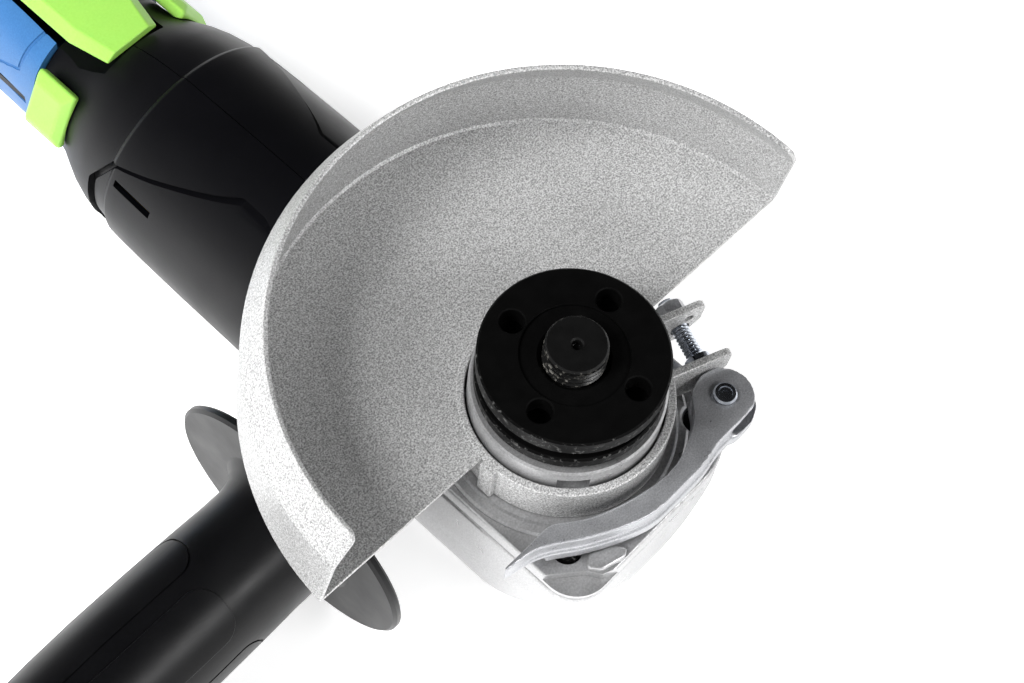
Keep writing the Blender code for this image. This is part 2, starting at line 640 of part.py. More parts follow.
# ---- motor -------------------------------------------------------------------------
def motor():
    """Armature group on the motor axis, and the fixed stator and brushes round it."""
    axis = empty("armature_axis", (0, 60, MOTOR_Z))
    home = (0, 60, MOTOR_Z)
    pinion(axis)
    shaft = lathe([(0, 14.8), (2.6, 14.8), (2.6, 28.2), (5.0, 28.2), (5.0, 66.0), (6.0, 66.0), (6.0, 108.0),
                   (5.0, 108.0), (5.0, 122.0), (3.5, 122.0), (3.5, 130.0), (0, 130.0)], SMALL)
    finish("armature_shaft", along_y(shaft), "steel", home, axis)
    slots = 12
    outline = []
    for k in range(slots):
        for mark, radius in ((0.08, 17.6), (0.46, 17.6), (0.92, 17.6), (0.92, 14.0), (1.08, 14.0)):
            a = 2 * math.pi * (k + mark) / slots
            outline.append((radius * math.cos(a), radius * math.sin(a)))
    core = cut(prism(outline, 69.0, 103.0), rod(6.3, 60, 110))
    finish("armature_core", along_y(core), "lamination", home, axis)
    for name, low, high in (("winding_front", 65.5, 68.7), ("winding_rear", 103.3, 107.5)):
        finish(name, along_y(rod(15.0, low, high, COARSE, 6.3)), "copper", home, axis)
    bars = lathe([(5.3, 109.0), (12.0, 109.0), (12.0, 110.5), (10.8, 110.5), (10.8, 121.0), (5.3, 121.0)], COARSE)
    finish("commutator", along_y(bars), "copper", home, axis)
    fan = join(rod(22.0, 60.0, 61.8, MEDIUM, 5.3), rod(8.0, 53.0, 61.0, SMALL, 5.3))
    for k in range(FAN_BLADES):
        blade = move(turn(box((0, -0.7, 54.0), (13.0, 0.7, 61.0)), 35), x=7.0)
        fan = join(fan, turn(blade, 360 * k / FAN_BLADES))
    finish("cooling_fan", along_y(fan), "black_plastic", home, axis)
    front = rod(12.8, 36.3, 44.0, COARSE, 5.3)
    finish("front_bearing", along_y(front), "steel")
    rear = rod(9.4, 124.3, 130.0, COARSE, 3.8)
    finish("rear_bearing", along_y(rear), "steel")
    stator = rod(27.1, 67.0, 105.0, MEDIUM, 21.6)
    for side in (0, 180):
        shoe = lathe([(18.4, 67.0), (22.5, 67.0), (22.5, 105.0), (18.4, 105.0)], 8, 100, 40 + side)
        stator = join(stator, shoe)
    finish("stator_core", along_y(stator), "lamination")
    for name, middle in (("field_coil_left", 180), ("field_coil_right", 0)):
        coil = lathe([(18.5, 63.0), (21.2, 63.0), (21.2, 107.5), (18.5, 107.5)], 8, 70, middle - 35)
        finish(name, along_y(coil), "copper")
    for side, tag in ((-1, "left"), (1, "right")):
        def sided(near, far, half_y, half_z):
            xs = sorted((side * near, side * far))
            return box((xs[0], 116 - half_y, MOTOR_Z - half_z), (xs[1], 116 + half_y, MOTOR_Z + half_z))
        holder = cut(sided(12.6, 26.2, 4.5, 5.5), sided(12.0, 24.0, 3.0, 4.0))
        finish("brush_holder_" + tag, holder, "brass")
        finish("brush_" + tag, sided(11.2, 21.0, 2.7, 3.7), "carbon")


# ---- housings ----------------------------------------------------------------------
def housing_solid():
    """Motor housing as one hollow body, before it is split down its middle."""
    outer = [(0, HOUSING_FRONT), (31.0, HOUSING_FRONT), (31.0, 75.0), (30.3, 105.0), (29.5, 122.0),
             (28.4, 130.0), (26.4, 135.5), (23.6, 140.5), (21.6, 144.5), (20.7, HOUSING_REAR),
             (0, HOUSING_REAR)]
    body = along_y(lathe(outer, FINE))
    for x in (-9, 9):
        body = join(body, box((x - 1.5, 100, 0.0), (x + 1.5, 124, 8.0)))
    inner = along_y(rod(27.5, HOUSING_FRONT - 1, 122.0, MEDIUM))
    for x, z in HOUSING_SCREWS:
        inner = cut(inner, move(turn(rod(4.6, 49, 64.0), -90, "X"), x=x, z=z))
    body = cut(body, inner, along_y(rod(9.7, 121, 130.3, COARSE)))
    body = cut(body, along_y(rod(17.0, 135.0, HOUSING_REAR + 1, COARSE)))
    for x, z in HOUSING_SCREWS:
        body = cut(body, move(turn(rod(2.2, 49, 63.5), -90, "X"), x=x, z=z))
    for side in (-1, 1):
        body = cut(body, move(turn(rod(3.0, 120, 137), -90, "X"), x=14 * side, z=MOTOR_Z))
        for tilt in (28, -28):
            slot = box((24, 107.5, -0.8), (34, 119.5, 0.8))
            turn(slot, -tilt if side > 0 else tilt - 180, "Y")
            body = cut(body, move(slot, z=MOTOR_Z))
    body = cut(body, box((-11.3, 138.0, 50.0), (11.3, 160.0, 70.0)))
    return body


def split(shape_maker, names, look, reach):
    """Cut a body in two halves along X = 0, with a fine gap between them."""
    low, high = reach
    for name, side in zip(names, (-1, 1)):
        xs = sorted((side * 0.15, side * 60))
        half = common(shape_maker(), box((xs[0], low, -20), (xs[1], high, 90)))
        finish(name, half, look)


SHELL_SCREWS = [(167.0, 20.0), (232.0, 20.0), (268.0, 44.5)]


def shell_section(y, inset=0.0):
    """Cross-section of the rear handle at y."""
    swell = 1.0 + 0.05 * math.sin(math.pi * (y - SHELL_FRONT) / (SHELL_REAR - SHELL_FRONT)) ** 2
    front = max(0.0, 1.0 - (y - SHELL_FRONT) / 14.0)
    half_x = SHELL_HALF[0] - inset + 0.7 * front
    half_z = SHELL_HALF[1] * swell - inset - 2.0 * front
    return [(x, y, MOTOR_Z + z) for x, z in superellipse(half_x, half_z, 2.7, 20)]


def shell_solid():
    """Rear handle as one hollow body, before it is split down its middle."""
    stations = [SHELL_FRONT, 170.0, 190.0, 215.0, 240.0, 262.0, 273.0]
    sections = [shell_section(y) for y in stations]
    sections.append([(x * 0.86, SHELL_REAR, MOTOR_Z + (z - MOTOR_Z) * 0.88)
                     for x, _, z in shell_section(SHELL_REAR)])
    body = loft(sections)
    inner = loft([shell_section(y, 2.6) for y in (SHELL_FRONT - 0.01, 170.0, 215.0, 262.0, 271.5)])
    for y, z in SHELL_SCREWS:
        inner = cut(inner, move(turn(rod(4.0, -30, 30), 90, "Y"), y=y, z=z))
    body = cut(body, inner)
    for y, z in SHELL_SCREWS:
        drill = lathe([(0, -12.5), (1.8, -12.5), (1.8, 16.0), (3.3, 16.0), (3.3, 30.0), (0, 30.0)], SMALL)
        body = cut(body, move(turn(drill, 90, "Y"), y=y, z=z))
    body = cut(body, box((-10.5, 150.0, 44.0), (10.5, 266.0, 70.0)))
    body = cut(body, move(turn(rod(1.9, -16.0, 16.0), 90, "Y"), y=PADDLE_PIVOT[0], z=PADDLE_PIVOT[1]))
    body = cut(body, move(turn(rod(7.8, 260, 280, COARSE), -90, "X"), z=25.0))
    for side in (-1, 1):
        xs = sorted((side * 18.6, side * 30))
        body = cut(body, box((xs[0], 159.0, 30.2), (xs[1], 250.0, 33.4)))
    return body


def handle_group():
    """Small parts of the rear handle."""
    for side, tag in ((-1, "left"), (1, "right")):
        xs = sorted((side * 18.9, side * 20.2))
        finish("grip_inlay_" + tag, box((xs[0], 159.3, 30.5), (xs[1], 249.7, 33.1)), "rubber")
        pad = loft([[(21.4, -8.5 + 1.2, 142.6), (21.4, 8.5 - 1.2, 142.6), (21.4, 8.5 - 1.2, 154.8),
                     (21.4, -8.5 + 1.2, 154.8)],
                    [(24.0, -8.5, 142.2), (24.0, 8.5, 142.2), (24.0, 8.5, 155.0), (24.0, -8.5, 155.0)],
                    [(25.8, -5.5, 144.6), (25.8, 5.5, 144.6), (25.8, 5.5, 153.4), (25.8, -5.5, 153.4)]])
        bmesh.ops.transform(pad, verts=pad.verts, matrix=Matrix(((1, 0, 0, 0), (0, 0, 1, 0), (0, 1, 0, 0),
                                                                 (0, 0, 0, 1))))
        bmesh.ops.recalc_face_normals(pad, faces=pad.faces)
        turn(pad, -26 if side > 0 else 26 - 180, "Y")
        neck = lathe([(0, 138.0), (25.3, 138.0), (23.9, 140.7), (21.9, 144.7), (21.0, 156.0), (0, 156.0)], FINE)
        finish("bumper_" + tag, cut(move(pad, z=MOTOR_Z), along_y(neck)), "lime_plastic")
    for k, (y, z) in enumerate(SHELL_SCREWS, 1):
        screw = lathe([(0, -12.0), (1.5, -12.0), (1.5, 16.3), (3.0, 16.3), (3.0, 18.3), (0, 18.3)], SMALL)
        finish("shell_screw_%d" % k, move(turn(screw, 90, "Y"), y=y, z=z), "steel")
    body = box((-8.0, 178.0, 22.0), (8.0, 222.0, 42.0))
    body = join(body, box((-16.8, 196.0, 26.0), (16.8, 204.0, 36.0)))
    body = cut(body, box((-3.3, SWITCH_Y - 4.3, 35.0), (3.3, SWITCH_Y + 4.3, 50.0)))
    finish("switch_body", body, "black_plastic")
    plunger = box((-3.0, SWITCH_Y - 4.0, 38.5), (3.0, SWITCH_Y + 4.0, 51.6))
    finish("switch_plunger", plunger, "lime_plastic", (0, SWITCH_Y, 42))
    ring = lathe([(3.6, 266.5), (9.6, 266.5), (9.6, 270.9), (7.4, 270.9), (6.6, 280.0), (3.6, 280.0)], COARSE)
    finish("cord_inlet", move(turn(ring, -90, "X"), z=25.0), "rubber")
    pivot = (0, PADDLE_PIVOT[0], PADDLE_PIVOT[1])
    pin = turn(rod(1.6, -15.7, 15.7), 90, "Y")
    finish("paddle_pin", move(pin, y=pivot[1], z=pivot[2]), "steel", pivot)
    finish("paddle_spring", move(spring(3.4, 0.45, 42.3, 54.3, 3), y=184.0), "steel", (0, 184, 42.3))


def switch_paddle():
    """Paddle along the underside: a channel with a chevron nose, hinged at its rear."""
    half = PADDLE_HALF
    top = PADDLE_TOP
    sections = []
    for y, width, height, base in ((140.2, half * 0.55, top - 1.2, 55.4), (146.0, half, top - 0.3, 54.9),
                                   (155.0, half, top, 54.9), (200.0, half, top + 0.2, 54.9),
                                   (250.0, half * 0.96, top - 1.0, 54.0), (264.0, half * 0.92, top - 3.0, 47.0)):
        sections.append([(-width, y, base), (width, y, base), (width, y, height - 1.6), (width - 1.6, y, height),
                         (-width + 1.6, y, height), (-width, y, height - 1.6)])
    body = loft(sections)
    cheek = box((-7.6, 250.0, 46.5), (7.6, 265.0, 55.5))
    body = join(body, cheek)
    body = cut(body, move(turn(rod(1.9, -16, 16), 90, "Y"), y=PADDLE_PIVOT[0], z=PADDLE_PIVOT[1]))
    body = join(body, box((-3.5, SWITCH_Y - 4.0, 52.0), (3.5, SWITCH_Y + 4.0, 55.5)))
    finish("switch_paddle", body, "lime_plastic", (0, *PADDLE_PIVOT))


# ---- build --------------------------------------------------------------------------
for old in list(bpy.data.objects):
    bpy.data.objects.remove(old)

LOOKS = {name: material(name, linear(color), rough, metal) for name, (color, rough, metal) in FINISHES.items()}

gear_case()
bearing_cover()
for index, (px, py) in enumerate(COVER_SCREWS, 1):
    cap_screw("cover_screw_%d" % index, px, py)
for index, (px, pz) in enumerate(HOUSING_SCREWS, 1):
    housing_screw("housing_screw_%d" % index, px, pz)
lock_button()
spindle_group()
guard_group()
side_handle()
motor()
split(housing_solid, ("housing_left", "housing_right"), "black_plastic", (HOUSING_FRONT - 5, HOUSING_REAR + 5))
split(shell_solid, ("handle_shell_left", "handle_shell_right"), "blue_plastic", (SHELL_FRONT - 5, SHELL_REAR + 5))
handle_group()
switch_paddle()
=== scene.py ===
"""Looks of an angle grinder that lies on its head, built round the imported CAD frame.

Every piece is modelled in millimetres, in the frame of the CAD: the origin is where the spindle axis
meets the flat top of the gear head, +Z runs along the spindle and +Y towards the rear handle.
"""

import math

import bmesh
import bpy
from mathutils import Matrix, Vector


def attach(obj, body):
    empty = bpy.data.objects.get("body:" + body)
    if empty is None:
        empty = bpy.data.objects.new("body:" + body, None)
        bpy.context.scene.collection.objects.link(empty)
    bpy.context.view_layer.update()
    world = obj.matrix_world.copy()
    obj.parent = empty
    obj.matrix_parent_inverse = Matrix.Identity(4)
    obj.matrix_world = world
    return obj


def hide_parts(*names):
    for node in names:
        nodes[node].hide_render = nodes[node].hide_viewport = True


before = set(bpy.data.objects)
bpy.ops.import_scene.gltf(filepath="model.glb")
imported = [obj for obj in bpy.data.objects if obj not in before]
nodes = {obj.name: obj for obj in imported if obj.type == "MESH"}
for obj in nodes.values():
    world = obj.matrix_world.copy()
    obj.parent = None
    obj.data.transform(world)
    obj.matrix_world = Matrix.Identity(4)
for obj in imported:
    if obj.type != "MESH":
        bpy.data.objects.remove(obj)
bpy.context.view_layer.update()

# ---- sizes, mm ----
MM = 0.001
MOTOR_Z = 31.5  # motor axis above the head's flat top
HANDLE_Y = 32.7  # side handle axis

CASE_TOP = 50.0
COVER_TOP = 55.0
COLLAR_R = 21.9
COLLAR_TOP = 74.5

FLANGE_R = 21.0
INNER_FLANGE = (75.2, 80.0)
NUT = (83.0, 88.0)
PIN_HOLE_R = 15.3  # the nut's four holes stand on this circle
PIN_HOLE_ANGLE = 103.7
SPINDLE_TIP = 93.0

SHEET = 1.2  # guard sheet
PLATE_TOP = 68.7
GUARD_R_BASE = 70.6
GUARD_R_TOP = 69.3
GUARD_END_Y = 1.8  # the guard's ends lie in one plane, which crosses the plate here
GUARD_END_SLOPE = 0.034  # and falls towards +X
GUARD_END_LEAN = 0.118  # and leans towards -Y with height
WALL_TOP = 89.4
LIP_R = 63.6
LIP_TOP = 99.3
BAND_R = (22.4, 24.4)
BAND_BASE = 56.5

CLAMP_ANGLE = -21.0
EAR_T = (-7.6, 5.4)
EAR_THICK = 2.0
EAR_REACH = (38.8, 38.6)
SCREW_S = 33.0
SCREW_Z = 61.5
PIN_T = 13.6
LEVER_Z = (57.5, 65.5)
EYE_R = 6.9
BAND_END = 180.0  # where the thick end of the band stands

HOUSING_FRONT = 50.3
HOUSING_REAR = 155.0
SHELL_FRONT = 155.3
SHELL_REAR = 275.0
SHELL_HALF = (20.0, 23.0)
PADDLE_PIVOT = (262.0, 49.0)
PADDLE_HALF = 9.8
PADDLE_TOP = 58.5
SHELL_SCREWS = [(167.0, 20.0), (232.0, 20.0), (268.0, 44.5)]
COVER_SCREWS = [(22.0, 22.0), (-22.0, 22.0), (-22.0, -22.0), (22.0, -22.0)]
HOUSING_SCREWS = [(19.0, 52.0), (-19.0, 52.0), (-23.5, 15.0), (23.5, 15.0)]
LOCK_Y = -12.0
HEAD_HALF = 30.0  # half width of the gear head
HEAD_NOSE = 33.0  # its reach towards -Y
HEAD_CORNERS = (8.5, 18.0)  # radii of its front corners, on -X and on +X

HOUSING_BORE_R = 27.5
PANEL_DEPTH = 1.1  # how far the housing's side panel is recessed
GROOVE_DEPTH = 2.1  # depth of the groove round it, from the same outer surface
PADDLE_PIN_R = 1.9  # bore for the paddle's pin

ROUND = 128  # facets round a large circle
SMALL_ROUND = 40
MID_ROUND = 96
SEAM = 0.12  # half the gap between the two halves of a shell

# ---- studio values ----
LENS = 79.1  # focal length, mm
SENSOR = 36.0  # sensor width, mm
CAMERA_AT = (-184.39, -110.61, 512.4)
CAMERA_ANGLES = (-55.42, 63.11, 9.35)  # azimuth, elevation and roll, degrees
FLOOR_GLOW = 0.62
HORIZON = 0.90  # brightness of the surroundings at eye level
FAR_SIDE = 0.12  # share of that brightness on the far right, towards +X and +Y
OVERHEAD = 0.03  # brightness straight above


# ---- materials ----
def linear(hex_color):
    """Linear RGBA of an sRGB hex colour."""
    values = [int(hex_color[i:i + 2], 16) / 255.0 for i in (0, 2, 4)]
    return tuple(v / 12.92 if v <= 0.04045 else ((v + 0.055) / 1.055) ** 2.4 for v in values) + (1.0,)


def per_mm(size):
    """Scale of a pattern on Object coordinates whose features are size mm across."""
    return 1.0 / (size * MM)


def add(mat, kind, settings=None, **sockets):
    """Add a shader node to a material or the world.

    Sockets are named with _ for spaces, or inN by number, and take a value or another socket.
    """
    made = mat.node_tree.nodes.new("ShaderNode" + kind)
    for name, value in (settings or {}).items():
        setattr(made, name, value)
    for name, value in sockets.items():
        if name.startswith("in"):
            socket = made.inputs[int(name[2:])]
        else:
            socket = made.inputs[name.replace("_", " ")]
        if isinstance(value, bpy.types.NodeSocket):
            mat.node_tree.links.new(value, socket)
        else:
            socket.default_value = value
    return made


def surface(name, dark, light, rough, grain, bump=0.0, bump_grain=None, metal=0.0, contrast=0.5, streak=None,
            mottle=0.0, mottle_size=12.0, wear_and_highlight=None, **extra):
    """A finish of its own: a grain between two colours, uneven roughness and a fine bump.

    grain and bump_grain are in mm, bump is its depth in mm, streak stretches the pattern along an axis,
    and wear is a function that returns a mask socket and a colour laid over the rest: edges rubbed bare, and on
    the nut's rim a painted highlight.
    """
    mat = bpy.data.materials.new(name)
    mat.use_nodes = True
    shader = mat.node_tree.nodes["Principled BSDF"]
    for socket, value in extra.items():
        shader.inputs[socket.replace("_", " ")].default_value = value
    shader.inputs["Metallic"].default_value = metal
    where = add(mat, "TexCoord").outputs["Object"]
    if streak:
        where = add(mat, "Mapping", Vector=where, Scale=streak).outputs["Vector"]
    fine = add(mat, "TexNoise", Vector=where, Scale=per_mm(grain), Detail=2.0, Roughness=0.6).outputs["Fac"]
    sharp = add(mat, "MapRange", Value=fine, From_Min=0.5 - contrast / 2, From_Max=0.5 + contrast / 2)
    mix = add(mat, "Mix", {"data_type": "RGBA"}, in0=sharp.outputs["Result"], in6=linear(dark),
              in7=linear(light))
    color = mix.outputs[2]
    cloud = add(mat, "TexNoise", Vector=where, Scale=per_mm(mottle_size), Detail=3.0).outputs["Fac"]
    if mottle:
        lift = add(mat, "MapRange", Value=cloud, From_Min=0.3, From_Max=0.7, To_Min=1.0 - mottle,
                   To_Max=1.0 + mottle)
        shade = add(mat, "HueSaturation", Color=color, Value=lift.outputs["Result"])
        color = shade.outputs["Color"]
    rough_map = add(mat, "MapRange", Value=cloud, From_Min=0.3, From_Max=0.7, To_Min=rough[0],
                    To_Max=rough[1])
    roughness = rough_map.outputs["Result"]
    if wear_and_highlight:
        mask, worn_and_highlight_color, worn_and_highlight_rough = wear_and_highlight(mat, where)
        color = add(mat, "Mix", {"data_type": "RGBA"}, in0=mask, in6=color, in7=linear(worn_and_highlight_color)).outputs[2]
        roughness = add(mat, "Mix", {"data_type": "FLOAT"}, in0=mask, in2=roughness,
                        in3=worn_and_highlight_rough).outputs[0]
    mat.node_tree.links.new(color, shader.inputs["Base Color"])
    mat.node_tree.links.new(roughness, shader.inputs["Roughness"])
    if bump:
        height = add(mat, "TexNoise", Vector=where, Scale=per_mm(bump_grain or grain),
                     Detail=2.0).outputs["Fac"]
        normal = add(mat, "Bump", Height=height, Strength=1.0, Distance=bump * MM)
        mat.node_tree.links.new(normal.outputs["Normal"], shader.inputs["Normal"])
    return mat


def ring_wear_and_highlight(inside, outside, amount, color, rough):
    """Bare-metal grey between two radii from the spindle axis, broken up by a fine noise: edges rubbed bare, and
    on the nut's rim a painted highlight.
    """
    def build(mat, where):
        apart = add(mat, "SeparateXYZ", Vector=where)
        flat = add(mat, "CombineXYZ", X=apart.outputs["X"], Y=apart.outputs["Y"])
        radius = add(mat, "VectorMath", {"operation": "LENGTH"}, in0=flat.outputs["Vector"]).outputs["Value"]
        edge = add(mat, "MapRange", Value=radius, From_Min=inside * MM,
                   From_Max=outside * MM).outputs["Result"]
        chips = add(mat, "TexNoise", Vector=where, Scale=per_mm(1.4), Detail=5.0,
                    Roughness=0.7).outputs["Fac"]
        broken = add(mat, "MapRange", Value=chips, From_Min=0.62 - amount,
                     From_Max=0.70 - amount).outputs["Result"]
        mask = add(mat, "Math", {"operation": "MULTIPLY"}, in0=edge, in1=broken).outputs["Value"]
        return mask, color, rough
    return build


# Polyamide with glass fibre, moulded against spark-eroded steel: a satin sheen with a very fine pebble, so
# its lights are wide and weak and the sides pick up more of the pale surroundings than the top
black_plastic = surface("glass_filled_polyamide_black", "09090B", "0D0D10", (0.38, 0.46), 0.35, bump=0.012,
                        bump_grain=0.5, mottle=0.06, IOR=1.5, Specular_IOR_Level=0.3)
# The same plastic pigmented blue, moulded a little smoother
blue_plastic = surface("glass_filled_polyamide_blue", "35689F", "3F75AE", (0.40, 0.5), 0.4, bump=0.012,
                       bump_grain=0.5, mottle=0.04, IOR=1.5)
# Lime ABS: an even, slightly translucent colour with soft highlights
lime_plastic = surface("abs_moulded_lime", "9AD45A", "A2DA62", (0.38, 0.48), 0.6, bump=0.006, bump_grain=0.7,
                       mottle=0.03, IOR=1.45, Subsurface_Weight=0.08, Subsurface_Scale=0.002)
# Side handle: black polypropylene in a smoother mould, so its lights are tighter
grip_plastic = surface("polypropylene_moulded_black", "09090A", "0E0E10", (0.32, 0.42), 0.5, bump=0.010,
                       bump_grain=0.8, mottle=0.08, IOR=1.45, Specular_IOR_Level=0.3)
# Soft rubber laid into the blue handle: matt and a touch dusty
inlay_rubber = surface("thermoplastic_rubber_black", "131315", "1B1B1E", (0.6, 0.75), 0.3, bump=0.03,
                       bump_grain=0.4, mottle=0.05, IOR=1.5)
# Metallic powder coat over steel sheet: mid-grey ground with paler flakes, each grain a little pimple.
# The grain is drawn at about twice its real size, so that it still reads from the usual distance
guard_paint = surface("silver_powder_coated_steel", "8A8A8A", "E2E2E2", (0.42, 0.56), 0.38, bump=0.03,
                      bump_grain=0.38, metal=0.35, contrast=0.3, mottle=0.04, mottle_size=30)
# Aluminium die casting, tumbled and clear coated: pale, slightly cloudy, soft edges to its lights
cast_aluminium = surface("die_cast_aluminium_tumbled", "A8A8A9", "D2D2D3", (0.26, 0.42), 0.5, bump=0.030,
                         bump_grain=0.8, metal=0.7, contrast=0.6, mottle=0.10, mottle_size=7)
# Zinc die casting, vibration polished: darker than the aluminium and more mirror-like on its flats
lever_zinc = surface("die_cast_zinc_polished", "9A9B9F", "C6C7CA", (0.26, 0.40), 0.35, bump=0.025,
                     bump_grain=0.6, metal=0.6, contrast=0.5, mottle=0.08, mottle_size=5)
# Turned steel with a black oxide film; the bright grey hair line round its rim is a painted highlight of the
# edge, and also edges rubbed bare where they are handled
black_oxide = surface("black_oxide_turned_steel", "060606", "0B0B0B", (0.30, 0.42), 0.2, bump=0.006,
                      mottle=0.15,
                      mottle_size=4, wear_and_highlight=ring_wear_and_highlight(20.6, 20.85, 0.06, "5A5A59", 0.35),
                      Specular_IOR_Level=0.06)
# The spindle's thread is blackened too, and its crests are rubbed by the nut
spindle_oxide = surface("black_oxide_threaded_steel", "0B0B0B", "131313", (0.26, 0.38), 0.2, bump=0.006,
                        mottle=0.15, mottle_size=3, wear_and_highlight=ring_wear_and_highlight(6.6, 6.95, 0.08, "66645F", 0.3),
                        Specular_IOR_Level=0.3)
# Bright zinc plating: cold, clean and nearly mirror-like on small parts
zinc_plate = surface("zinc_plated_steel", "AEB3BC", "D2D7DF", (0.14, 0.26), 0.8, bump=0.008, metal=1.0,
                     mottle=0.06, mottle_size=3)
# Ground bearing and shaft steel
bright_steel = surface("ground_steel", "9DA0A4", "B6B9BD", (0.2, 0.34), 0.3, bump=0.008, metal=1.0,
                       mottle=0.05)
# Varnished magnet wire: reddish and glossy, ridged like a winding
copper_wire = surface("enamelled_copper_wire", "8A3F1E", "B8653A", (0.28, 0.4), 0.6, bump=0.05, metal=0.9,
                      mottle=0.1, mottle_size=3)
# Bare copper turned on the commutator
turned_copper = surface("turned_copper", "A9603C", "C77B52", (0.25, 0.4), 0.4, bump=0.01, metal=1.0)
# Brass pressings of the brush holders and the bush
pressed_brass = surface("pressed_brass", "A98B45", "C4A65A", (0.25, 0.4), 0.5, bump=0.01, metal=1.0)
# Brush carbon: dull and dense
carbon = surface("pressed_carbon", "1B1B1C", "2A2A2B", (0.55, 0.7), 0.3, bump=0.03, mottle=0.1)
# Electrical steel sheets: the pattern is squeezed along Y, so it reads as the edges of the stack
lamination = surface("stacked_electrical_steel", "4E5055", "7A7D83", (0.35, 0.5), 0.5, bump=0.04, metal=0.9,
                     streak=(1.0, 12.0, 1.0), mottle=0.05)
# Nylon of the fan and the switch parts
fan_plastic = surface("moulded_nylon_black", "1C1C1F", "26262A", (0.4, 0.5), 0.5, bump=0.01, mottle=0.05,
                      IOR=1.5)


# ---- shape helpers: every shape is a bmesh in mm ----
def spun(profile, steps=ROUND, angle=360.0, start=0.0):
    """Turn a closed profile of (radius, height) about Z; a part turn gets flat ends."""
    bm = bmesh.new()
    full = angle >= 360.0
    verts = [bm.verts.new((radius, 0.0, height)) for radius, height in profile]
    edges = [bm.edges.new(pair) for pair in zip(verts, verts[1:] + verts[:1])]
    if not full:
        bm.faces.new(verts)
    bmesh.ops.spin(bm, geom=verts + edges + list(bm.faces), cent=(0, 0, 0), axis=(0, 0, 1), dvec=(0, 0, 0),
                   angle=math.radians(angle), steps=steps, use_merge=full)
    tidy(bm)
    return turned(bm, start)


def tidy(bm):
    """Close poles and seams, and point every face outwards."""
    bmesh.ops.remove_doubles(bm, verts=bm.verts, dist=0.0005)
    bmesh.ops.dissolve_degenerate(bm, edges=bm.edges, dist=0.0005)
    bmesh.ops.recalc_face_normals(bm, faces=bm.faces)
    return bm


def turned(bm, degrees, axis="Z", about=(0.0, 0.0, 0.0)):
    bmesh.ops.rotate(bm, verts=bm.verts, cent=about, matrix=Matrix.Rotation(math.radians(degrees), 3, axis))
    return bm


def moved(bm, x=0.0, y=0.0, z=0.0):
    bmesh.ops.translate(bm, verts=bm.verts, vec=(x, y, z))
    return bm


def stretched(bm, x=1.0, y=1.0, z=1.0):
    bmesh.ops.scale(bm, verts=bm.verts, vec=(x, y, z))
    return bm


def along_y(bm):
    """Stand a shape made along Z on the motor axis."""
    return moved(turned(bm, -90, "X"), z=MOTOR_Z)


def along_x(bm):
    """Lay a shape made along Z on the side handle's axis."""
    return moved(turned(bm, 90, "Y"), y=HANDLE_Y, z=MOTOR_Z)


def slab(outline, low, high, corner=0.0, corner_steps=6):
    """Outline in X and Y, its corners rounded, extruded from z low to z high."""
    bm = bmesh.new()
    face = bm.faces.new([bm.verts.new((x, y, low)) for x, y in outline])
    if corner:
        bmesh.ops.bevel(bm, geom=list(face.verts), offset=corner, segments=corner_steps, profile=0.5,
                        affect="VERTICES", material=-1)
    face = bm.faces[:][0]
    grown = bmesh.ops.extrude_face_region(bm, geom=[face])
    tops = [item for item in grown["geom"] if isinstance(item, bmesh.types.BMVert)]
    bmesh.ops.translate(bm, verts=tops, vec=(0, 0, high - low))
    return tidy(bm)


def brick(low, high):
    """Box between two corners."""
    bm = bmesh.new()
    bmesh.ops.create_cube(bm, size=1.0)
    stretched(bm, *(high[i] - low[i] for i in range(3)))
    return moved(bm, *((high[i] + low[i]) / 2 for i in range(3)))


def rod(radius, low, high, steps=SMALL_ROUND, bore=0.0, edge=0.0):
    """Round bar or tube along Z with its outer edges bevelled."""
    rim = [(radius, low), (radius, high)]
    if edge:
        rim = [(radius - edge, low), (radius, low + edge), (radius, high - edge), (radius - edge, high)]
    return spun([(bore, low)] + rim + [(bore, high)], steps)


def soften(bm, width, segments=2, sharper_than=30.0):
    """Bevel every edge sharper than an angle."""
    limit = math.radians(sharper_than)
    edges = [e for e in bm.edges if len(e.link_faces) == 2 and e.calc_face_angle(0.0) > limit]
    bmesh.ops.bevel(bm, geom=edges, offset=width, segments=segments, profile=0.5, affect="EDGES",
                    material=-1, clamp_overlap=True)
    return bm


def worked(bm, *modifiers):
    """Run modifiers, each (type, settings), on a shape."""
    mesh = bpy.data.meshes.new("work")
    bm.to_mesh(mesh)
    bm.free()
    obj = bpy.data.objects.new("work", mesh)
    bpy.context.collection.objects.link(obj)
    for kind, settings in modifiers:
        modifier = obj.modifiers.new(kind.lower(), kind)
        for name, value in settings.items():
            setattr(modifier, name, value)
    evaluated = obj.evaluated_get(bpy.context.evaluated_depsgraph_get())
    made = bmesh.new()
    made.from_mesh(evaluated.to_mesh())
    bpy.data.objects.remove(obj)
    bpy.data.meshes.remove(mesh)
    return made


def combined(first, second, operation):
    """Exact Boolean of two shapes, which are used up."""
    mesh = bpy.data.meshes.new("tool")
    second.to_mesh(mesh)
    second.free()
    tool = bpy.data.objects.new("tool", mesh)
    bpy.context.collection.objects.link(tool)
    made = worked(first, ("BOOLEAN", {"operation": operation, "object": tool, "solver": "EXACT"}))
    bpy.data.objects.remove(tool)
    bpy.data.meshes.remove(mesh)
    bmesh.ops.remove_doubles(made, verts=made.verts, dist=0.0005)
    bmesh.ops.dissolve_degenerate(made, edges=made.edges, dist=0.0005)
    return made


def joined(first, *others):
    """Exact union of shapes."""
    for other in others:
        first = combined(first, other, "UNION")
    return first


def cut(first, *others):
    """The first shape without the others."""
    for other in others:
        first = combined(first, other, "DIFFERENCE")
    return first


def common(first, second):
    """What two shapes share."""
    return combined(first, second, "INTERSECT")


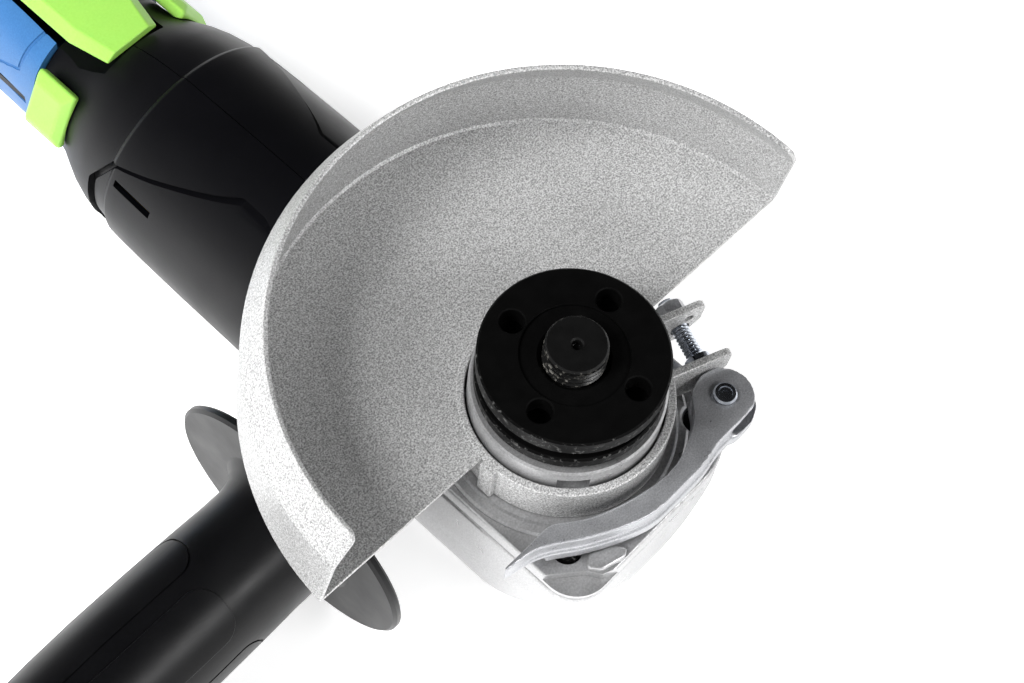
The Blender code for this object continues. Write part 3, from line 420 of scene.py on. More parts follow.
def beside(first, *others):
    """Put shapes that only touch into one piece."""
    for other in others:
        mesh = bpy.data.meshes.new("work")
        other.to_mesh(mesh)
        other.free()
        first.from_mesh(mesh)
        bpy.data.meshes.remove(mesh)
    return first


def recast(bm, voxel, rounds):
    """Melt a shape's edges the way a casting has them: voxel remesh, then smooth."""
    return worked(bm, ("REMESH", {"mode": "VOXEL", "voxel_size": voxel, "adaptivity": 0.0}),
                  ("SMOOTH", {"factor": 0.5, "iterations": rounds}))


def piece(name, bm, look, body, replaced, sharp=35.0, weighted=True):
    """Make a finished piece that rides on a CAD body and stands for CAD nodes."""
    stretched(bm, MM, MM, MM)
    mesh = bpy.data.meshes.new(name)
    bm.to_mesh(mesh)
    bm.free()
    mesh.materials.append(look)
    mesh.shade_smooth()
    mesh.set_sharp_from_angle(angle=math.radians(sharp))
    obj = bpy.data.objects.new(name, mesh)
    bpy.context.collection.objects.link(obj)
    if weighted:
        modifier = obj.modifiers.new("weighted", "WEIGHTED_NORMAL")
        modifier.keep_sharp = True
    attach(obj, body)
    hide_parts(*replaced)


def radial(radius, degrees):
    """X and Y at a radius and an angle."""
    angle = math.radians(degrees)
    return radius * math.cos(angle), radius * math.sin(angle)


# ---- guard ----
def clamp_point(s, t):
    """Point in X and Y, s along the ears and t along the clamp screw."""
    angle = math.radians(CLAMP_ANGLE)
    return (s * math.cos(angle) + t * math.sin(angle), s * math.sin(angle) - t * math.cos(angle))


def guard_ends(radius, height):
    """Angles between which the guard runs at a radius and a height."""
    tilt = math.atan(GUARD_END_SLOPE)
    reach = GUARD_END_Y - GUARD_END_LEAN * (height - PLATE_TOP)
    half = math.asin(reach * math.cos(tilt) / radius)
    return half - tilt, math.pi - half - tilt


def guard_cup():
    """Half cup of sheet: plate, wall and inward lip, folded along soft creases."""
    profile = [(BAND_R[0] + 0.9, PLATE_TOP), (GUARD_R_BASE - 0.6, PLATE_TOP), (GUARD_R_BASE, PLATE_TOP + 0.6),
               (GUARD_R_TOP + 0.05, WALL_TOP - 1.0), (GUARD_R_TOP - 0.5, WALL_TOP + 0.5), (LIP_R + 0.6,
                                                                                           LIP_TOP - 0.1)]
    bm = bmesh.new()
    rows = []
    for radius, height in profile:
        start, end = guard_ends(radius, height)
        angles = [start + (end - start) * i / (ROUND // 2) for i in range(ROUND // 2 + 1)]
        rows.append([bm.verts.new((radius * math.cos(a), radius * math.sin(a), height)) for a in angles])
    for low, high in zip(rows, rows[1:]):
        for i in range(ROUND // 2):
            bm.faces.new((low[i], low[i + 1], high[i + 1], high[i]))
    corners = [v for v in bm.verts if len(v.link_edges) == 2 and v.co.z > LIP_TOP - 1]
    bmesh.ops.bevel(bm, geom=corners, offset=3.0, segments=6, profile=0.5, affect="VERTICES", material=-1)
    bmesh.ops.recalc_face_normals(bm, faces=bm.faces)
    middle = sum((f.normal.z for f in bm.faces if f.calc_center_median().z < PLATE_TOP + 0.1), 0.0)
    if middle < 0:
        bmesh.ops.reverse_faces(bm, faces=bm.faces)
    bm = worked(bm, ("SOLIDIFY", {"thickness": SHEET, "offset": -1.0, "use_even_offset": True}))
    bmesh.ops.recalc_face_normals(bm, faces=bm.faces)
    soften(bm, 0.35, 2, 60.0)
    piece("guard_cup", bm, guard_paint, "guard", ["guard_shell"])


def guard_collar():
    """Split band round the head's collar, its two ends bent out into ears for the screw."""
    inner, outer = BAND_R
    top = PLATE_TOP + 0.15
    band = rod(outer, BAND_BASE, top, ROUND, inner)
    soften(band, 0.45, 3, 50.0)
    low, high = EAR_T
    mouth = [clamp_point(10, low + EAR_THICK / 2), clamp_point(50, low + EAR_THICK / 2),
             clamp_point(50, high - EAR_THICK / 2), clamp_point(10, high - EAR_THICK / 2)]
    band = cut(band, slab(mouth, 40, 80))
    for t, reach in zip(EAR_T, EAR_REACH):
        start = math.sqrt(inner ** 2 - t ** 2) + 0.6
        outline = [(start, BAND_BASE), (reach - 6.0, BAND_BASE), (reach - 0.5, BAND_BASE + 6.5),
                   (reach, top - 1.0), (reach - 1.0, top), (start, top)]
        ear = slab(outline, -EAR_THICK / 2, EAR_THICK / 2, 0.0)
        soften(ear, 0.4, 3, 40.0)
        turned(ear, 90, "X")
        moved(ear, y=-t)
        band = joined(band, turned(ear, CLAMP_ANGLE))
    end = slab([(inner + 0.6, -2.0), (inner + 0.6, 2.0), (outer + 1.3, 2.0), (outer + 1.3, -2.0)], BAND_BASE,
               top)
    band = joined(band, soften(turned(end, BAND_END), 0.4, 2, 50.0))
    band = cut(band, clamp_bar(2.4, -12, 9))
    hole = moved(turned(rod(1.1, -4, 4), 90, "X"), x=EAR_REACH[0] - 4.0, y=-EAR_T[0], z=65.5)
    band = cut(band, turned(hole, CLAMP_ANGLE))
    piece("guard_collar", band, guard_paint, "guard", ["guard_band"], sharp=40)


def clamp_bar(radius, start, end, steps=SMALL_ROUND, edge=0.0):
    """Round bar along the clamp screw's axis, between two values of t."""
    bar = turned(turned(rod(radius, start, end, steps, edge=edge), 90, "X"), CLAMP_ANGLE)
    x, y = clamp_point(SCREW_S, 0)
    return moved(bar, x, y, SCREW_Z)


def threaded(core, crest, low, high, pitch, steps=SMALL_ROUND):
    """Bar along Z with thread crests as rings."""
    profile = [(0, low), (core, low)]
    height = low + pitch * 0.4
    while height < high - pitch * 0.7:
        profile += [(core, height), (crest, height + pitch * 0.35), (crest, height + pitch * 0.5),
                    (core, height + pitch * 0.85)]
        height += pitch
    return spun(profile + [(core, high), (0, high)], steps)


def clamp_hardware():
    """Eye bolt with its thread, the nut behind the far ear, and the lever's pin."""
    eye = clamp_point(SCREW_S, PIN_T)
    x, y = clamp_point(SCREW_S, 0)
    thread = threaded(1.75, 2.1, -14.0, PIN_T - 2.5, 0.9)
    bolt = moved(turned(turned(thread, 90, "X"), CLAMP_ANGLE), x, y, SCREW_Z)
    collar = clamp_bar(3.1, 1.2, EAR_T[1] - EAR_THICK / 2 - 0.3, edge=0.4)
    ring = moved(rod(3.6, 59.8, 63.2, edge=0.4), eye[0], eye[1])
    bolt = cut(joined(bolt, ring, collar), moved(rod(2.2, 50, 70), eye[0], eye[1]))
    piece("clamp_eye_bolt", bolt, zinc_plate, "guard", ["clamp_screw"])
    nut = clamp_bar(3.9, -12.8, EAR_T[0] - EAR_THICK / 2 - 0.3, 6)
    dome = clamp_bar(4.15, -12.9, -8.2, edge=0.9)
    nut = cut(common(nut, dome), clamp_bar(2.2, -20, 0))
    piece("clamp_hex_nut", nut, lever_zinc, "guard", ["clamp_nut"])
    low, high = LEVER_Z
    base = high + 0.3
    head = spun([(0, low - 0.7), (1.9, low - 0.7), (1.9, base), (2.5, base), (2.75, base + 0.3), (2.75,
                                                                                                  base + 0.7),
                 (2.35, base + 1.15), (1.65, base + 1.2), (1.5, base + 0.9), (0, base + 0.9)], SMALL_ROUND)
    socket = rod(0.95, base + 0.45, base + 3.0, 6)
    head = cut(head, socket)
    piece("clamp_lever_pin", moved(head, eye[0], eye[1]), zinc_plate, "guard", ["lever_pin"])


# ---- clamp lever ----
LEVER_INNER = ((21.9, -18.7), (20.4, -19.9), (17.5, -23.0), (12.7, -25.6), (8.0, -27.3), (2.6, -27.9), (-2.9,
                                                                                                        -27.2),
               (-10.1, -25.3), (-17.4, -22.3), (-23.4, -18.1), (-26.6, -17.5), (-31.5, -17.5), (-38.3, -17.4))
LEVER_OUTER = ((-38.4, -18.1), (-31.3, -19.2), (-27.0, -21.2), (-21.6, -24.9), (-16.6, -27.7), (-12.0, -29.9),
               (-6.3, -31.8), (0.2, -32.2), (9.6, -32.1), (16.8, -31.0), (22.6, -31.1))
EYE_AT = (25.9, -24.5)


def curve(points, steps=5):
    """Smooth line through points."""
    made = []
    for i in range(len(points) - 1):
        before, start, end, after = (Vector(points[max(0, min(len(points) - 1, i + k))]) for k in (-1, 0, 1,
                                                                                                   2))
        for k in range(steps):
            t = k / steps
            made.append(0.5 * (2 * start + (end - before) * t + (2 * before - 5 * start + 4 * end - after) * t * t
                               + (3 * start - before - 3 * end + after) * t ** 3))
    return [tuple(p) for p in made] + [points[-1]]


def lever_outline(grown=0.0):
    """Lever seen from above: round eye, arm round the band, thin tip; grown widens its outer side."""
    eye = []
    for angle in range(-66, 121, 12):
        x, y = radial(EYE_R, angle)
        eye.append((EYE_AT[0] + x, EYE_AT[1] + y))
    outer = [tuple(Vector(p) * (1.0 + grown / Vector(p).length)) for p in LEVER_OUTER[1:]]
    return eye + curve(LEVER_INNER) + curve([LEVER_OUTER[0]] + outer)


def clamp_lever():
    """Cast lever: forked eye with a lug under it, arm with flat flanks, finger tip thinned from below."""
    low, high = LEVER_Z
    body = slab(lever_outline(), low, high)
    lug = slab([(20.5, -28.0), (32.0, -28.0), (33.3, -25.5), (31.8, -30.2), (28.0, -32.2), (22.0, -32.4),
                (20.0, -31.2)], low, low + 3.6, 1.2)
    body = recast(beside(body, slab(lever_outline(0.7), low, low + 3.4), lug), 0.3, 1)
    thin = slab([(-27.0, -16.0), (-45.0, -16.0), (-45.0, -24.0), (-29.0, -24.0)], low - 1.0, low + 2.4)
    slot = moved(rod(EYE_R + 0.6, 59.3, 63.7), *EYE_AT)
    body = cut(body, thin, slot, moved(rod(2.2, 50, 70), *EYE_AT))
    body = recast(body, 0.3, 2)
    piece("clamp_lever_casting", body, lever_zinc, "lever", ["clamp_lever"], sharp=60,
          weighted=False)


# ---- spindle, flange and nut ----
def spindle_end():
    """Spindle with four crests of thread at its free end and a centre drilling."""
    profile = [(0, 6.0), (3.0, 6.0), (3.0, 15.5), (6.0, 17.0), (6.0, 35.4), (5.4, 35.4), (5.4, 36.7),
               (6.0, 36.7), (6.0, 46.8), (8.6, 46.8), (8.6, 50.5), (7.5, 50.5), (7.5, 61.5), (7.0, 61.5)]
    pitch = 1.75
    height = SPINDLE_TIP - 2.0 - 4 * pitch
    profile.append((7.0, height - 0.5))
    for _ in range(4):
        profile += [(6.05, height), (6.05, height + 0.25), (7.0, height + 0.8), (7.0, height + 1.15)]
        height += pitch
    profile += [(6.15, height), (6.15, height + 0.2), (6.9, height + 0.5), (6.9, SPINDLE_TIP - 0.45),
                (6.45, SPINDLE_TIP), (1.5, SPINDLE_TIP), (1.15, SPINDLE_TIP - 0.35), (1.1, SPINDLE_TIP - 2.2),
                (0, SPINDLE_TIP - 2.9)]
    piece("spindle_turned", spun(profile, MID_ROUND), spindle_oxide, "spindle", ["spindle"],
          sharp=25)


def flange_and_nut():
    """Inner flange and two-pin clamping nut, turned and blackened."""
    low, high = INNER_FLANGE
    flange = spun([(7.3, low), (FLANGE_R - 1.6, low), (FLANGE_R - 1.2, low + 0.8), (FLANGE_R - 0.4,
                                                                                    low + 1.0),
                   (FLANGE_R, low + 1.4), (FLANGE_R, high - 0.5), (FLANGE_R - 0.5, high), (7.3, high)], ROUND)
    piece("inner_flange_turned", flange, black_oxide, "spindle", ["inner_flange"])
    low, high = NUT
    recess = 12.0
    nut = spun([(7.3, 80.3), (10.7, 80.3), (11.0, 80.6), (11.0, low), (FLANGE_R - 0.7, low), (FLANGE_R,
                                                                                              low + 0.7),
                (FLANGE_R, high - 0.45), (FLANGE_R - 0.45, high), (recess + 0.15, high), (recess,
                                                                                          high - 0.15),
                (recess, high - 0.7), (8.1, high - 0.7), (7.3, high - 1.5)], ROUND)
    for quarter in range(4):
        hole = spun([(0, low - 1), (2.8, low - 1), (2.8, high - 0.3), (3.1, high), (3.1, high + 1), (0,
                                                                                                     high + 1)],
                    SMALL_ROUND)
        nut = cut(nut, turned(moved(hole, x=PIN_HOLE_R), PIN_HOLE_ANGLE + 90 * quarter))
    piece("clamping_nut", nut, black_oxide, "nut", ["wheel_nut"], sharp=30)


# ---- gear head ----
def head_outline(half, nose, corners, rear, rear_corner=0.0):
    """Plan of the head: two round front corners, and a rear edge that may be rounded too."""
    points = []
    left, right = corners
    for first, radius, cx, cy in ((0, rear_corner, half - rear_corner, rear - rear_corner),
                                  (90, rear_corner, rear_corner - half, rear - rear_corner),
                                  (180, left, left - half, left - nose), (270, right, half - right,
                                                                          right - nose)):
        for i in range(17 if radius else 1):
            x, y = radial(radius, first + 90 * i / 16)
            points.append((cx + x, cy + y))
    return points


def lofted(sections):
    """Closed solid through rings of points of equal count."""
    bm = bmesh.new()
    loops = []
    for section in sections:
        verts = [bm.verts.new(point) for point in section]
        loops.append([bm.edges.new(pair) for pair in zip(verts, verts[1:] + verts[:1])])
    bmesh.ops.contextual_create(bm, geom=loops[0])
    bmesh.ops.contextual_create(bm, geom=loops[-1])
    for low, high in zip(loops, loops[1:]):
        bmesh.ops.bridge_loops(bm, edges=low + high)
    return tidy(bm)


def gear_case_casting():
    """Die-cast gear case with domed head, motor flange and handle bosses."""
    levels = [(0.0, 18.5, 20.5, 17.0, 17.0), (0.7, 19.6, 21.6, 18.0, 18.0), (2.0, 21.0, 23.0, 19.5, 19.5),
              (5.0, 23.3, 25.3, 22.0, 22.0), (9.0, 25.4, 27.4, 24.0, 24.0), (14.0, 27.3, 29.3, 25.8, 25.8),
              (20.0, 28.8, 30.8, 27.0, 27.0), (27.0, 29.6, 32.2, 25.0, 26.0), (34.0, 30.0, 33.0, 21.0, 24.0),
              (39.0, 30.0, 33.0, 15.0, 20.5), (44.0, 30.0, 33.0, 10.0, 18.0), (CASE_TOP - 0.9, 30.0, 33.0,
                                                                               8.5, 18.0),
              (CASE_TOP - 0.3, 29.4, 32.4, 7.9, 17.4)]
    body = lofted([[(x, y, z) for x, y in head_outline(half, nose, (left, right), 45.5)]
                   for z, half, nose, left, right in levels])
    flange = along_y(rod(31.3, 44.5, 50.0, ROUND, edge=0.6))
    boss = rod(13.0, -35.6, 35.6, 64, edge=0.7)
    case = joined(body, flange, along_x(boss))
    case = cut(case, rod(26.0, 16.0, 60, 64), rod(5.5, 5.0, 20))
    case = cut(case, moved(rod(5.5, -1, 13.0), y=LOCK_Y), moved(rod(2.3, 12, 18), y=LOCK_Y))
    case = cut(case, along_y(rod(10.0, 20, 40)), along_y(rod(13.1, 36.0, 52)))
    for side in (-1, 1):
        case = cut(case, along_x(rod(4.3, min(side * 18, side * 40), max(side * 18, side * 40))))
    for x, z in HOUSING_SCREWS:
        outer = math.copysign(42, x)
        inner = x - math.copysign(3.6, x)
        if z > MOTOR_Z:
            pocket = brick((x - 3.6, 38, z - 3.6), (x + 3.6, 44.5, 66))
        else:
            pocket = brick((min(inner, outer), 37, z - 3.6), (max(inner, outer), 44.5, z + 3.6))
        case = cut(case, pocket, moved(turned(rod(2.2, 44, 52), -90, "X"), x=x, z=z))
    for x, y in COVER_SCREWS:
        case = cut(case, moved(rod(2.2, 36, 52), x, y))
    case = recast(case, 0.75, 5)
    piece("gear_case_casting", case, cast_aluminium, "root", ["gear_case"], sharp=60,
          weighted=False)


def bearing_cover_casting():
    """Cover with stepped rings round its collar."""
    plate = slab(head_outline(HEAD_HALF, HEAD_NOSE, HEAD_CORNERS, 33.0, 12.0), CASE_TOP, COVER_TOP)
    soften(plate, 0.8, 3, 60.0)
    collar = spun([(0, CASE_TOP + 1), (28.9, CASE_TOP + 1), (28.9, COVER_TOP + 0.4), (28.3, COVER_TOP + 0.9),
                   (26.6, COVER_TOP + 0.9), (26.0, COVER_TOP + 1.3), (22.3, COVER_TOP + 1.3),
                   (COLLAR_R, COVER_TOP + 1.7), (COLLAR_R, COLLAR_TOP - 0.5), (COLLAR_R - 0.5, COLLAR_TOP),
                   (0, COLLAR_TOP)], ROUND)
    cover = joined(plate, collar)
    cover = cut(cover, rod(17.5, CASE_TOP - 1, 61.5, 64), rod(9.5, 60, COLLAR_TOP + 1, 64))
    cover = cut(cover, rod(18.5, 71.5, COLLAR_TOP + 1, MID_ROUND))
    for x, y in COVER_SCREWS:
        cover = cut(cover, moved(rod(2.3, 49, 60), x, y),
                    moved(spun([(0, COVER_TOP - 2.5), (3.6, COVER_TOP - 2.5), (3.6, COVER_TOP + 0.2),
                                (4.3, COVER_TOP + 0.9), (4.3, 60), (0, 60)], SMALL_ROUND), x, y))
    shelf = [(-32.0, -20.8), (-22.8, -28.3), (-20.7, -31.5), (-14.8, -33.9), (-34.0, -36.0)]
    cover = cut(cover, slab(shelf, COVER_TOP - 3.0, 60.0))
    pad = slab([(-19.8, -26.2), (-22.6, -28.3), (-20.6, -31.0), (-14.8, -32.6), (-12.8, -31.4), (-14.4,
                                                                                                 -28.6)],
               COVER_TOP - 1.0, COVER_TOP + 1.6, 0.8)
    cover = joined(cover, soften(pad, 0.6, 3, 50.0))
    notch = turned(brick((19.0, -3.6, 66.0), (25.0, 3.6, 71.3)), 226)
    cover = cut(cover, notch)
    piece("bearing_cover_casting", cover, cast_aluminium, "root", ["bearing_cover"],
          sharp=30)


# ---- motor housing ----
HOUSING_PROFILE = [(HOUSING_FRONT, 30.6), (51.0, 31.0), (75.0, 31.0), (95.0, 30.8), (110.0, 30.5), (118.0,
                                                                                                    30.2),
                   (120.8, 30.0), (121.5, 29.7), (122.3, 28.9), (123.2, 28.7), (126.0, 28.3), (131.0, 27.3),
                   (135.5, 25.9), (139.5, 24.1), (143.0, 22.4), (147.0, 21.3), (151.0, 20.9), (HOUSING_REAR,
                                                                                               20.7)]


def housing_skin(offset):
    """Solid of the housing's outer form, grown by offset, as a turned body along Y."""
    profile = [(0, HOUSING_PROFILE[0][0])] + [(r + offset, y) for y, r in HOUSING_PROFILE]
    profile.append((0, HOUSING_REAR))
    return along_y(spun(profile, ROUND))


PANEL = [(66.0, 57.4), (72.6, 58.2), (81.0, 59.8), (88.7, 59.8), (103.3, 55.4), (112.0, 52.6), (122.0, 49.6),
         (128.0, 40.0), (128.0, 20.0), (118.0, 12.0), (60.0, 12.0), (60.0, 50.0)]
PANEL_INSIDE = [(66.4, 55.6), (72.3, 56.5), (80.6, 58.1), (88.3, 58.1), (102.8, 53.7), (111.5, 50.9),
                (121.0, 48.1), (126.4, 39.4), (126.4, 20.8), (117.2, 13.6), (61.6, 13.6), (61.6, 51.6)]
PADDLE_POCKET = [(-9.6, 139.3), (9.6, 139.3), (12.2, 151.0), (12.2, 160.0), (-12.2, 160.0), (-12.2, 151.0)]


def side_prism(outline, side, low, high):
    """Outline in Y and Z, extruded along X on one side of the motor."""
    prism = slab(outline, low, high, 0.6, 2)
    across = Matrix(((0, 0, side, 0), (1, 0, 0, 0), (0, 1, 0, 0), (0, 0, 0, 1)))
    bmesh.ops.transform(prism, verts=prism.verts, matrix=across)
    return tidy(prism)


def halves(body, names, nodes_replaced, look, y_range):
    """Split a shell at its seam and make a piece of each half."""
    for name, side, node in zip(names, (-1, 1), nodes_replaced):
        low, high = sorted((side * SEAM, side * 60))
        half = common(body.copy(), brick((low, y_range[0], -10), (high, y_range[1], 90)))
        piece(name, half, look, "root", [node], sharp=30)


def motor_housing():
    """Motor housing in two halves, with vents and a recessed side panel inside a groove."""
    body = housing_skin(0.0)
    for x in (-9, 9):
        rib = brick((x - 1.5, 100, 0.0), (x + 1.5, 124, 8.0))
        body = joined(body, soften(rib, 0.4, 2))
    for side in (-1, 1):
        recess = side_prism(PANEL, side, 8.0, 40.0)
        groove = cut(side_prism(PANEL, side, 8.2, 40.0), side_prism(PANEL_INSIDE, side, 7.0, 41.0))
        body = cut(body, cut(recess, housing_skin(-PANEL_DEPTH)))
        body = cut(body, cut(groove, housing_skin(-GROOVE_DEPTH)))
    bore = along_y(rod(HOUSING_BORE_R, HOUSING_FRONT - 1, 122.0, 64))
    body = cut(body, bore, along_y(rod(9.7, 121, 130.3)), along_y(rod(17.0, 135.0, HOUSING_REAR + 1)))
    for side in (-1, 1):
        for tilt in (28, -28):
            slot = slab([(20, 107.3), (36, 107.3), (36, 119.7), (20, 119.7)], -1.0, 1.0)
            turned(slot, -tilt if side > 0 else tilt - 180, "Y")
            body = cut(body, moved(slot, z=MOTOR_Z))
    body = cut(body, slab(PADDLE_POCKET, 49.5, 70.0))
    halves(body, ("motor_housing_left", "motor_housing_right"), ("housing_left", "housing_right"),
           black_plastic,
           (40, 170))


# ---- side handle ----
GRIP_PROFILE = [(-35.9, 10.4), (-36.5, 11.0), (-45.0, 12.0), (-49.0, 12.6), (-51.0, 13.4)]
GRIP_BODY = [(-53.5, 21.5), (-54.2, 19.2), (-55.6, 17.4), (-57.6, 16.2), (-60.5, 15.6), (-66.0, 15.6),
             (-75.0, 15.9),
             (-90.0, 16.2), (-105.0, 16.3), (-118.0, 16.0), (-132.0, 15.3), (-146.0, 14.7), (-155.0, 14.9),
             (-160.0, 14.2), (-163.5, 12.4), (-165.4, 9.6), (-166.0, 6.5)]
PAD_TILT = 30.0  # the thumb pad leans this far from upright, towards the guard's open side
PANEL_TILT = -38.0  # and the inset panels lean to the other side


def round_ended(start, end, half, low, high, angle):
    """Bar along -X with round ends, standing on the grip's axis and tilted about it."""
    outline = [(start, -half), (start, half), (end, half), (end, -half)]
    bar = slab(outline, low, high, half * 0.75, 8)
    return moved(turned(bar, angle, "X"), y=HANDLE_Y, z=MOTOR_Z)


def side_handle():
    """Moulded grip with a finger disc, inset panels and a raised thumb pad."""
    points = [(r, x) for x, r in GRIP_PROFILE + GRIP_BODY]
    grip = spun([(0, -35.9)] + points + [(0, -166.0)], MID_ROUND)
    disc = spun([(0, -51.5), (33.7, -51.5), (34.5, -52.2), (34.5, -53.3), (33.7, -54.0), (0, -54.0)],
                MID_ROUND)
    stretched(disc, x=31.0 / 34.5)
    grip = joined(along_x(grip), along_x(disc))
    pad = common(round_ended(-80.5, -150.0, 7.2, 8.0, 24.0, PAD_TILT),
                 along_x(spun([(0, -79.0)] + [(r + 0.7, x) for x, r in GRIP_BODY[6:13]] + [(0, -155.0)],
                              MID_ROUND)))
    grip = joined(grip, soften(pad, 0.45, 3, 40.0))
    for tilt in (PANEL_TILT, PANEL_TILT - 70.0, PAD_TILT + 75.0):
        groove = cut(round_ended(-77.0, -152.0, 7.6, 8.0, 24.0, tilt),
                     round_ended(-77.5, -151.5, 7.1, 7.0, 25.0, tilt))
        shell = cut(along_x(spun([(0, -70.0), (20.0, -70.0), (20.0, -156.0), (0, -156.0)], 32)),
                    along_x(spun([(0, -69.0)] + [(r - 0.45, x) for x, r in GRIP_BODY[5:14]] + [(0, -157.0)],
                                 MID_ROUND)))
        grip = cut(grip, common(groove, shell))
    grip = cut(grip, along_x(rod(4.3, -60, -30)))
    piece("side_handle_moulding", grip, grip_plastic, "side_handle", ["side_handle_grip"],
          sharp=35)


# ---- rear handle ----
def shell_section(y, inset=0.0, count=64):
    """Cross-section of the rear handle at y."""
    swell = 1.0 + 0.05 * math.sin(math.pi * (y - SHELL_FRONT) / (SHELL_REAR - SHELL_FRONT)) ** 2
    front = max(0.0, 1.0 - (y - SHELL_FRONT) / 14.0)
    half_x = SHELL_HALF[0] - inset + 0.7 * front
    half_z = SHELL_HALF[1] * swell - inset - 2.0 * front
    points = []
    for i in range(count):
        a = 2 * math.pi * i / count
        c, s = math.cos(a), math.sin(a)
        points.append((half_x * math.copysign(abs(c) ** (2 / 2.7), c), y,
                       MOTOR_Z + half_z * math.copysign(abs(s) ** (2 / 2.7), s)))
    return points


def on_shell(y, degrees, count=360):
    """Point on the rear handle's surface at y, degrees from straight up towards -X."""
    ring = shell_section(y, 0.0, count)
    return Vector(ring[int(round((90.0 + degrees) / 360.0 * count)) % count])


GROOVES = tuple(((158.6, side * 16.0), (160.3, side * 45.0), (161.0, side * 67.0), (168.0, side * 77.0),
                 (210.0, side * 78.0)) for side in (1, -1))


def furrow(path, radius):
    """Round channel that follows points (y, degrees) on the rear handle."""
    points = []
    for (y0, a0), (y1, a1) in zip(path, path[1:]):
        points += [on_shell(y0 + (y1 - y0) * k / 6, a0 + (a1 - a0) * k / 6) for k in range(6)]
    points.append(on_shell(*path[-1]))
    sections = []
    for i, point in enumerate(points):
        along = (points[min(i + 1, len(points) - 1)] - points[max(i - 1, 0)]).normalized()
        out = Vector((point.x, 0.0, point.z - MOTOR_Z)).normalized()
        side = along.cross(out).normalized()
        out = side.cross(along)
        section = []
        for k in range(8):
            turn = k * math.pi / 4
            section.append(tuple(point + (side * math.cos(turn) + out * math.sin(turn)) * radius))
        sections.append(section)
    return lofted(sections)


def rear_handle():
    """Rear handle in two halves, hollow for the switch."""
    stations = [SHELL_FRONT] + [160 + 6 * i for i in range(17)] + [262.0, 268.0, 271.0]
    sections = [shell_section(y) for y in stations]
    for y, share in ((273.4, 0.955), (274.6, 0.91), (SHELL_REAR, 0.85)):
        sections.append([(x * share, y, MOTOR_Z + (z - MOTOR_Z) * share) for x, _,
                         z in shell_section(SHELL_REAR)])
    body = lofted(sections)
    body = cut(body, lofted([shell_section(y, 2.6) for y in (SHELL_FRONT - 0.01, 170.0, 215.0, 262.0,
                                                             271.5)]))
    body = cut(body, brick((-10.9, 150.0, 44.0), (10.9, 266.0, 70.0)))
    body = cut(body, moved(turned(rod(PADDLE_PIN_R, -16.0, 16.0), 90, "Y"), y=PADDLE_PIVOT[0],
                           z=PADDLE_PIVOT[1]))
    body = cut(body, moved(turned(rod(7.8, 260, 280), -90, "X"), z=25.0))
    for y, z in SHELL_SCREWS:
        drill = spun([(0, 15), (3.3, 15), (3.3, 30.0), (0, 30.0)], SMALL_ROUND)
        body = cut(body, moved(turned(drill, 90, "Y"), y=y, z=z))
    for side in (-1, 1):
        xs = sorted((side * 18.6, side * 30))
        body = cut(body, brick((xs[0], 159.0, 30.2), (xs[1], 250.0, 33.4)))
    for path in GROOVES:
        body = cut(body, furrow(path, 0.55))
    halves(body, ("rear_handle_left", "rear_handle_right"), ("handle_shell_left", "handle_shell_right"),
           blue_plastic, (140, 290))


def switch_paddle():
    """Paddle with a chevron nose."""
    half = PADDLE_HALF
    top = PADDLE_TOP
    sections = []
    for y, width, height, base in ((139.8, half * 0.80, top - 0.8, 55.2), (151.0, half * 1.05, top, 54.9),
                                   (200.0, half * 1.05, top + 0.2, 54.9), (250.0, half * 0.98, top - 1.0,
                                                                           54.0),
                                   (264.0, half * 0.92, top - 3.0, 47.0)):
        crown = width - 2.4
        sections.append([(-width, y, base), (width, y, base), (width, y, base + 0.9), (crown, y, height),
                         (-crown, y, height), (-width, y, base + 0.9)])
    body = soften(lofted(sections), 0.8, 3, 25.0)
    body = joined(body, soften(brick((-7.6, 250.0, 46.5), (7.6, 265.0, 55.5)), 0.4))
    body = cut(body, moved(turned(rod(PADDLE_PIN_R, -16, 16), 90, "Y"), y=PADDLE_PIVOT[0], z=PADDLE_PIVOT[1]))
    body = joined(body, brick((-3.5, 191.0, 52.0), (3.5, 199.0, 55.5)))
    piece("switch_paddle_moulding", body, lime_plastic, "paddle", ["switch_paddle"], sharp=40)


def bumpers():
    """Lime blocks on both sides of the neck."""
    for side, tag in ((-1, "left"), (1, "right")):
        pad = lofted([[(-7.3, 142.6, 21.4), (7.3, 142.6, 21.4), (7.3, 154.8, 21.4), (-7.3, 154.8, 21.4)],
                      [(-8.5, 142.2, 24.0), (8.5, 142.2, 24.0), (8.5, 155.0, 24.0), (-8.5, 155.0, 24.0)],
                      [(-5.5, 144.6, 25.8), (5.5, 144.6, 25.8), (5.5, 153.4, 25.8), (-5.5, 153.4, 25.8)]])
        soften(pad, 0.7, 3, 20.0)
        turned(pad, 90, "Y")
        if side < 0:
            turned(pad, 180, "Y")
        turned(pad, -26 if side > 0 else 26, "Y")
        neck = spun([(0, 138.0), (25.3, 138.0), (23.9, 140.7), (21.9, 144.7), (21.0, 156.0), (0, 156.0)],
                    ROUND)
        piece("bumper_%s_moulding" % tag, cut(moved(pad, y=-1.2, z=MOTOR_Z), along_y(neck)), lime_plastic,
              "root",
              ["bumper_" + tag], sharp=40)


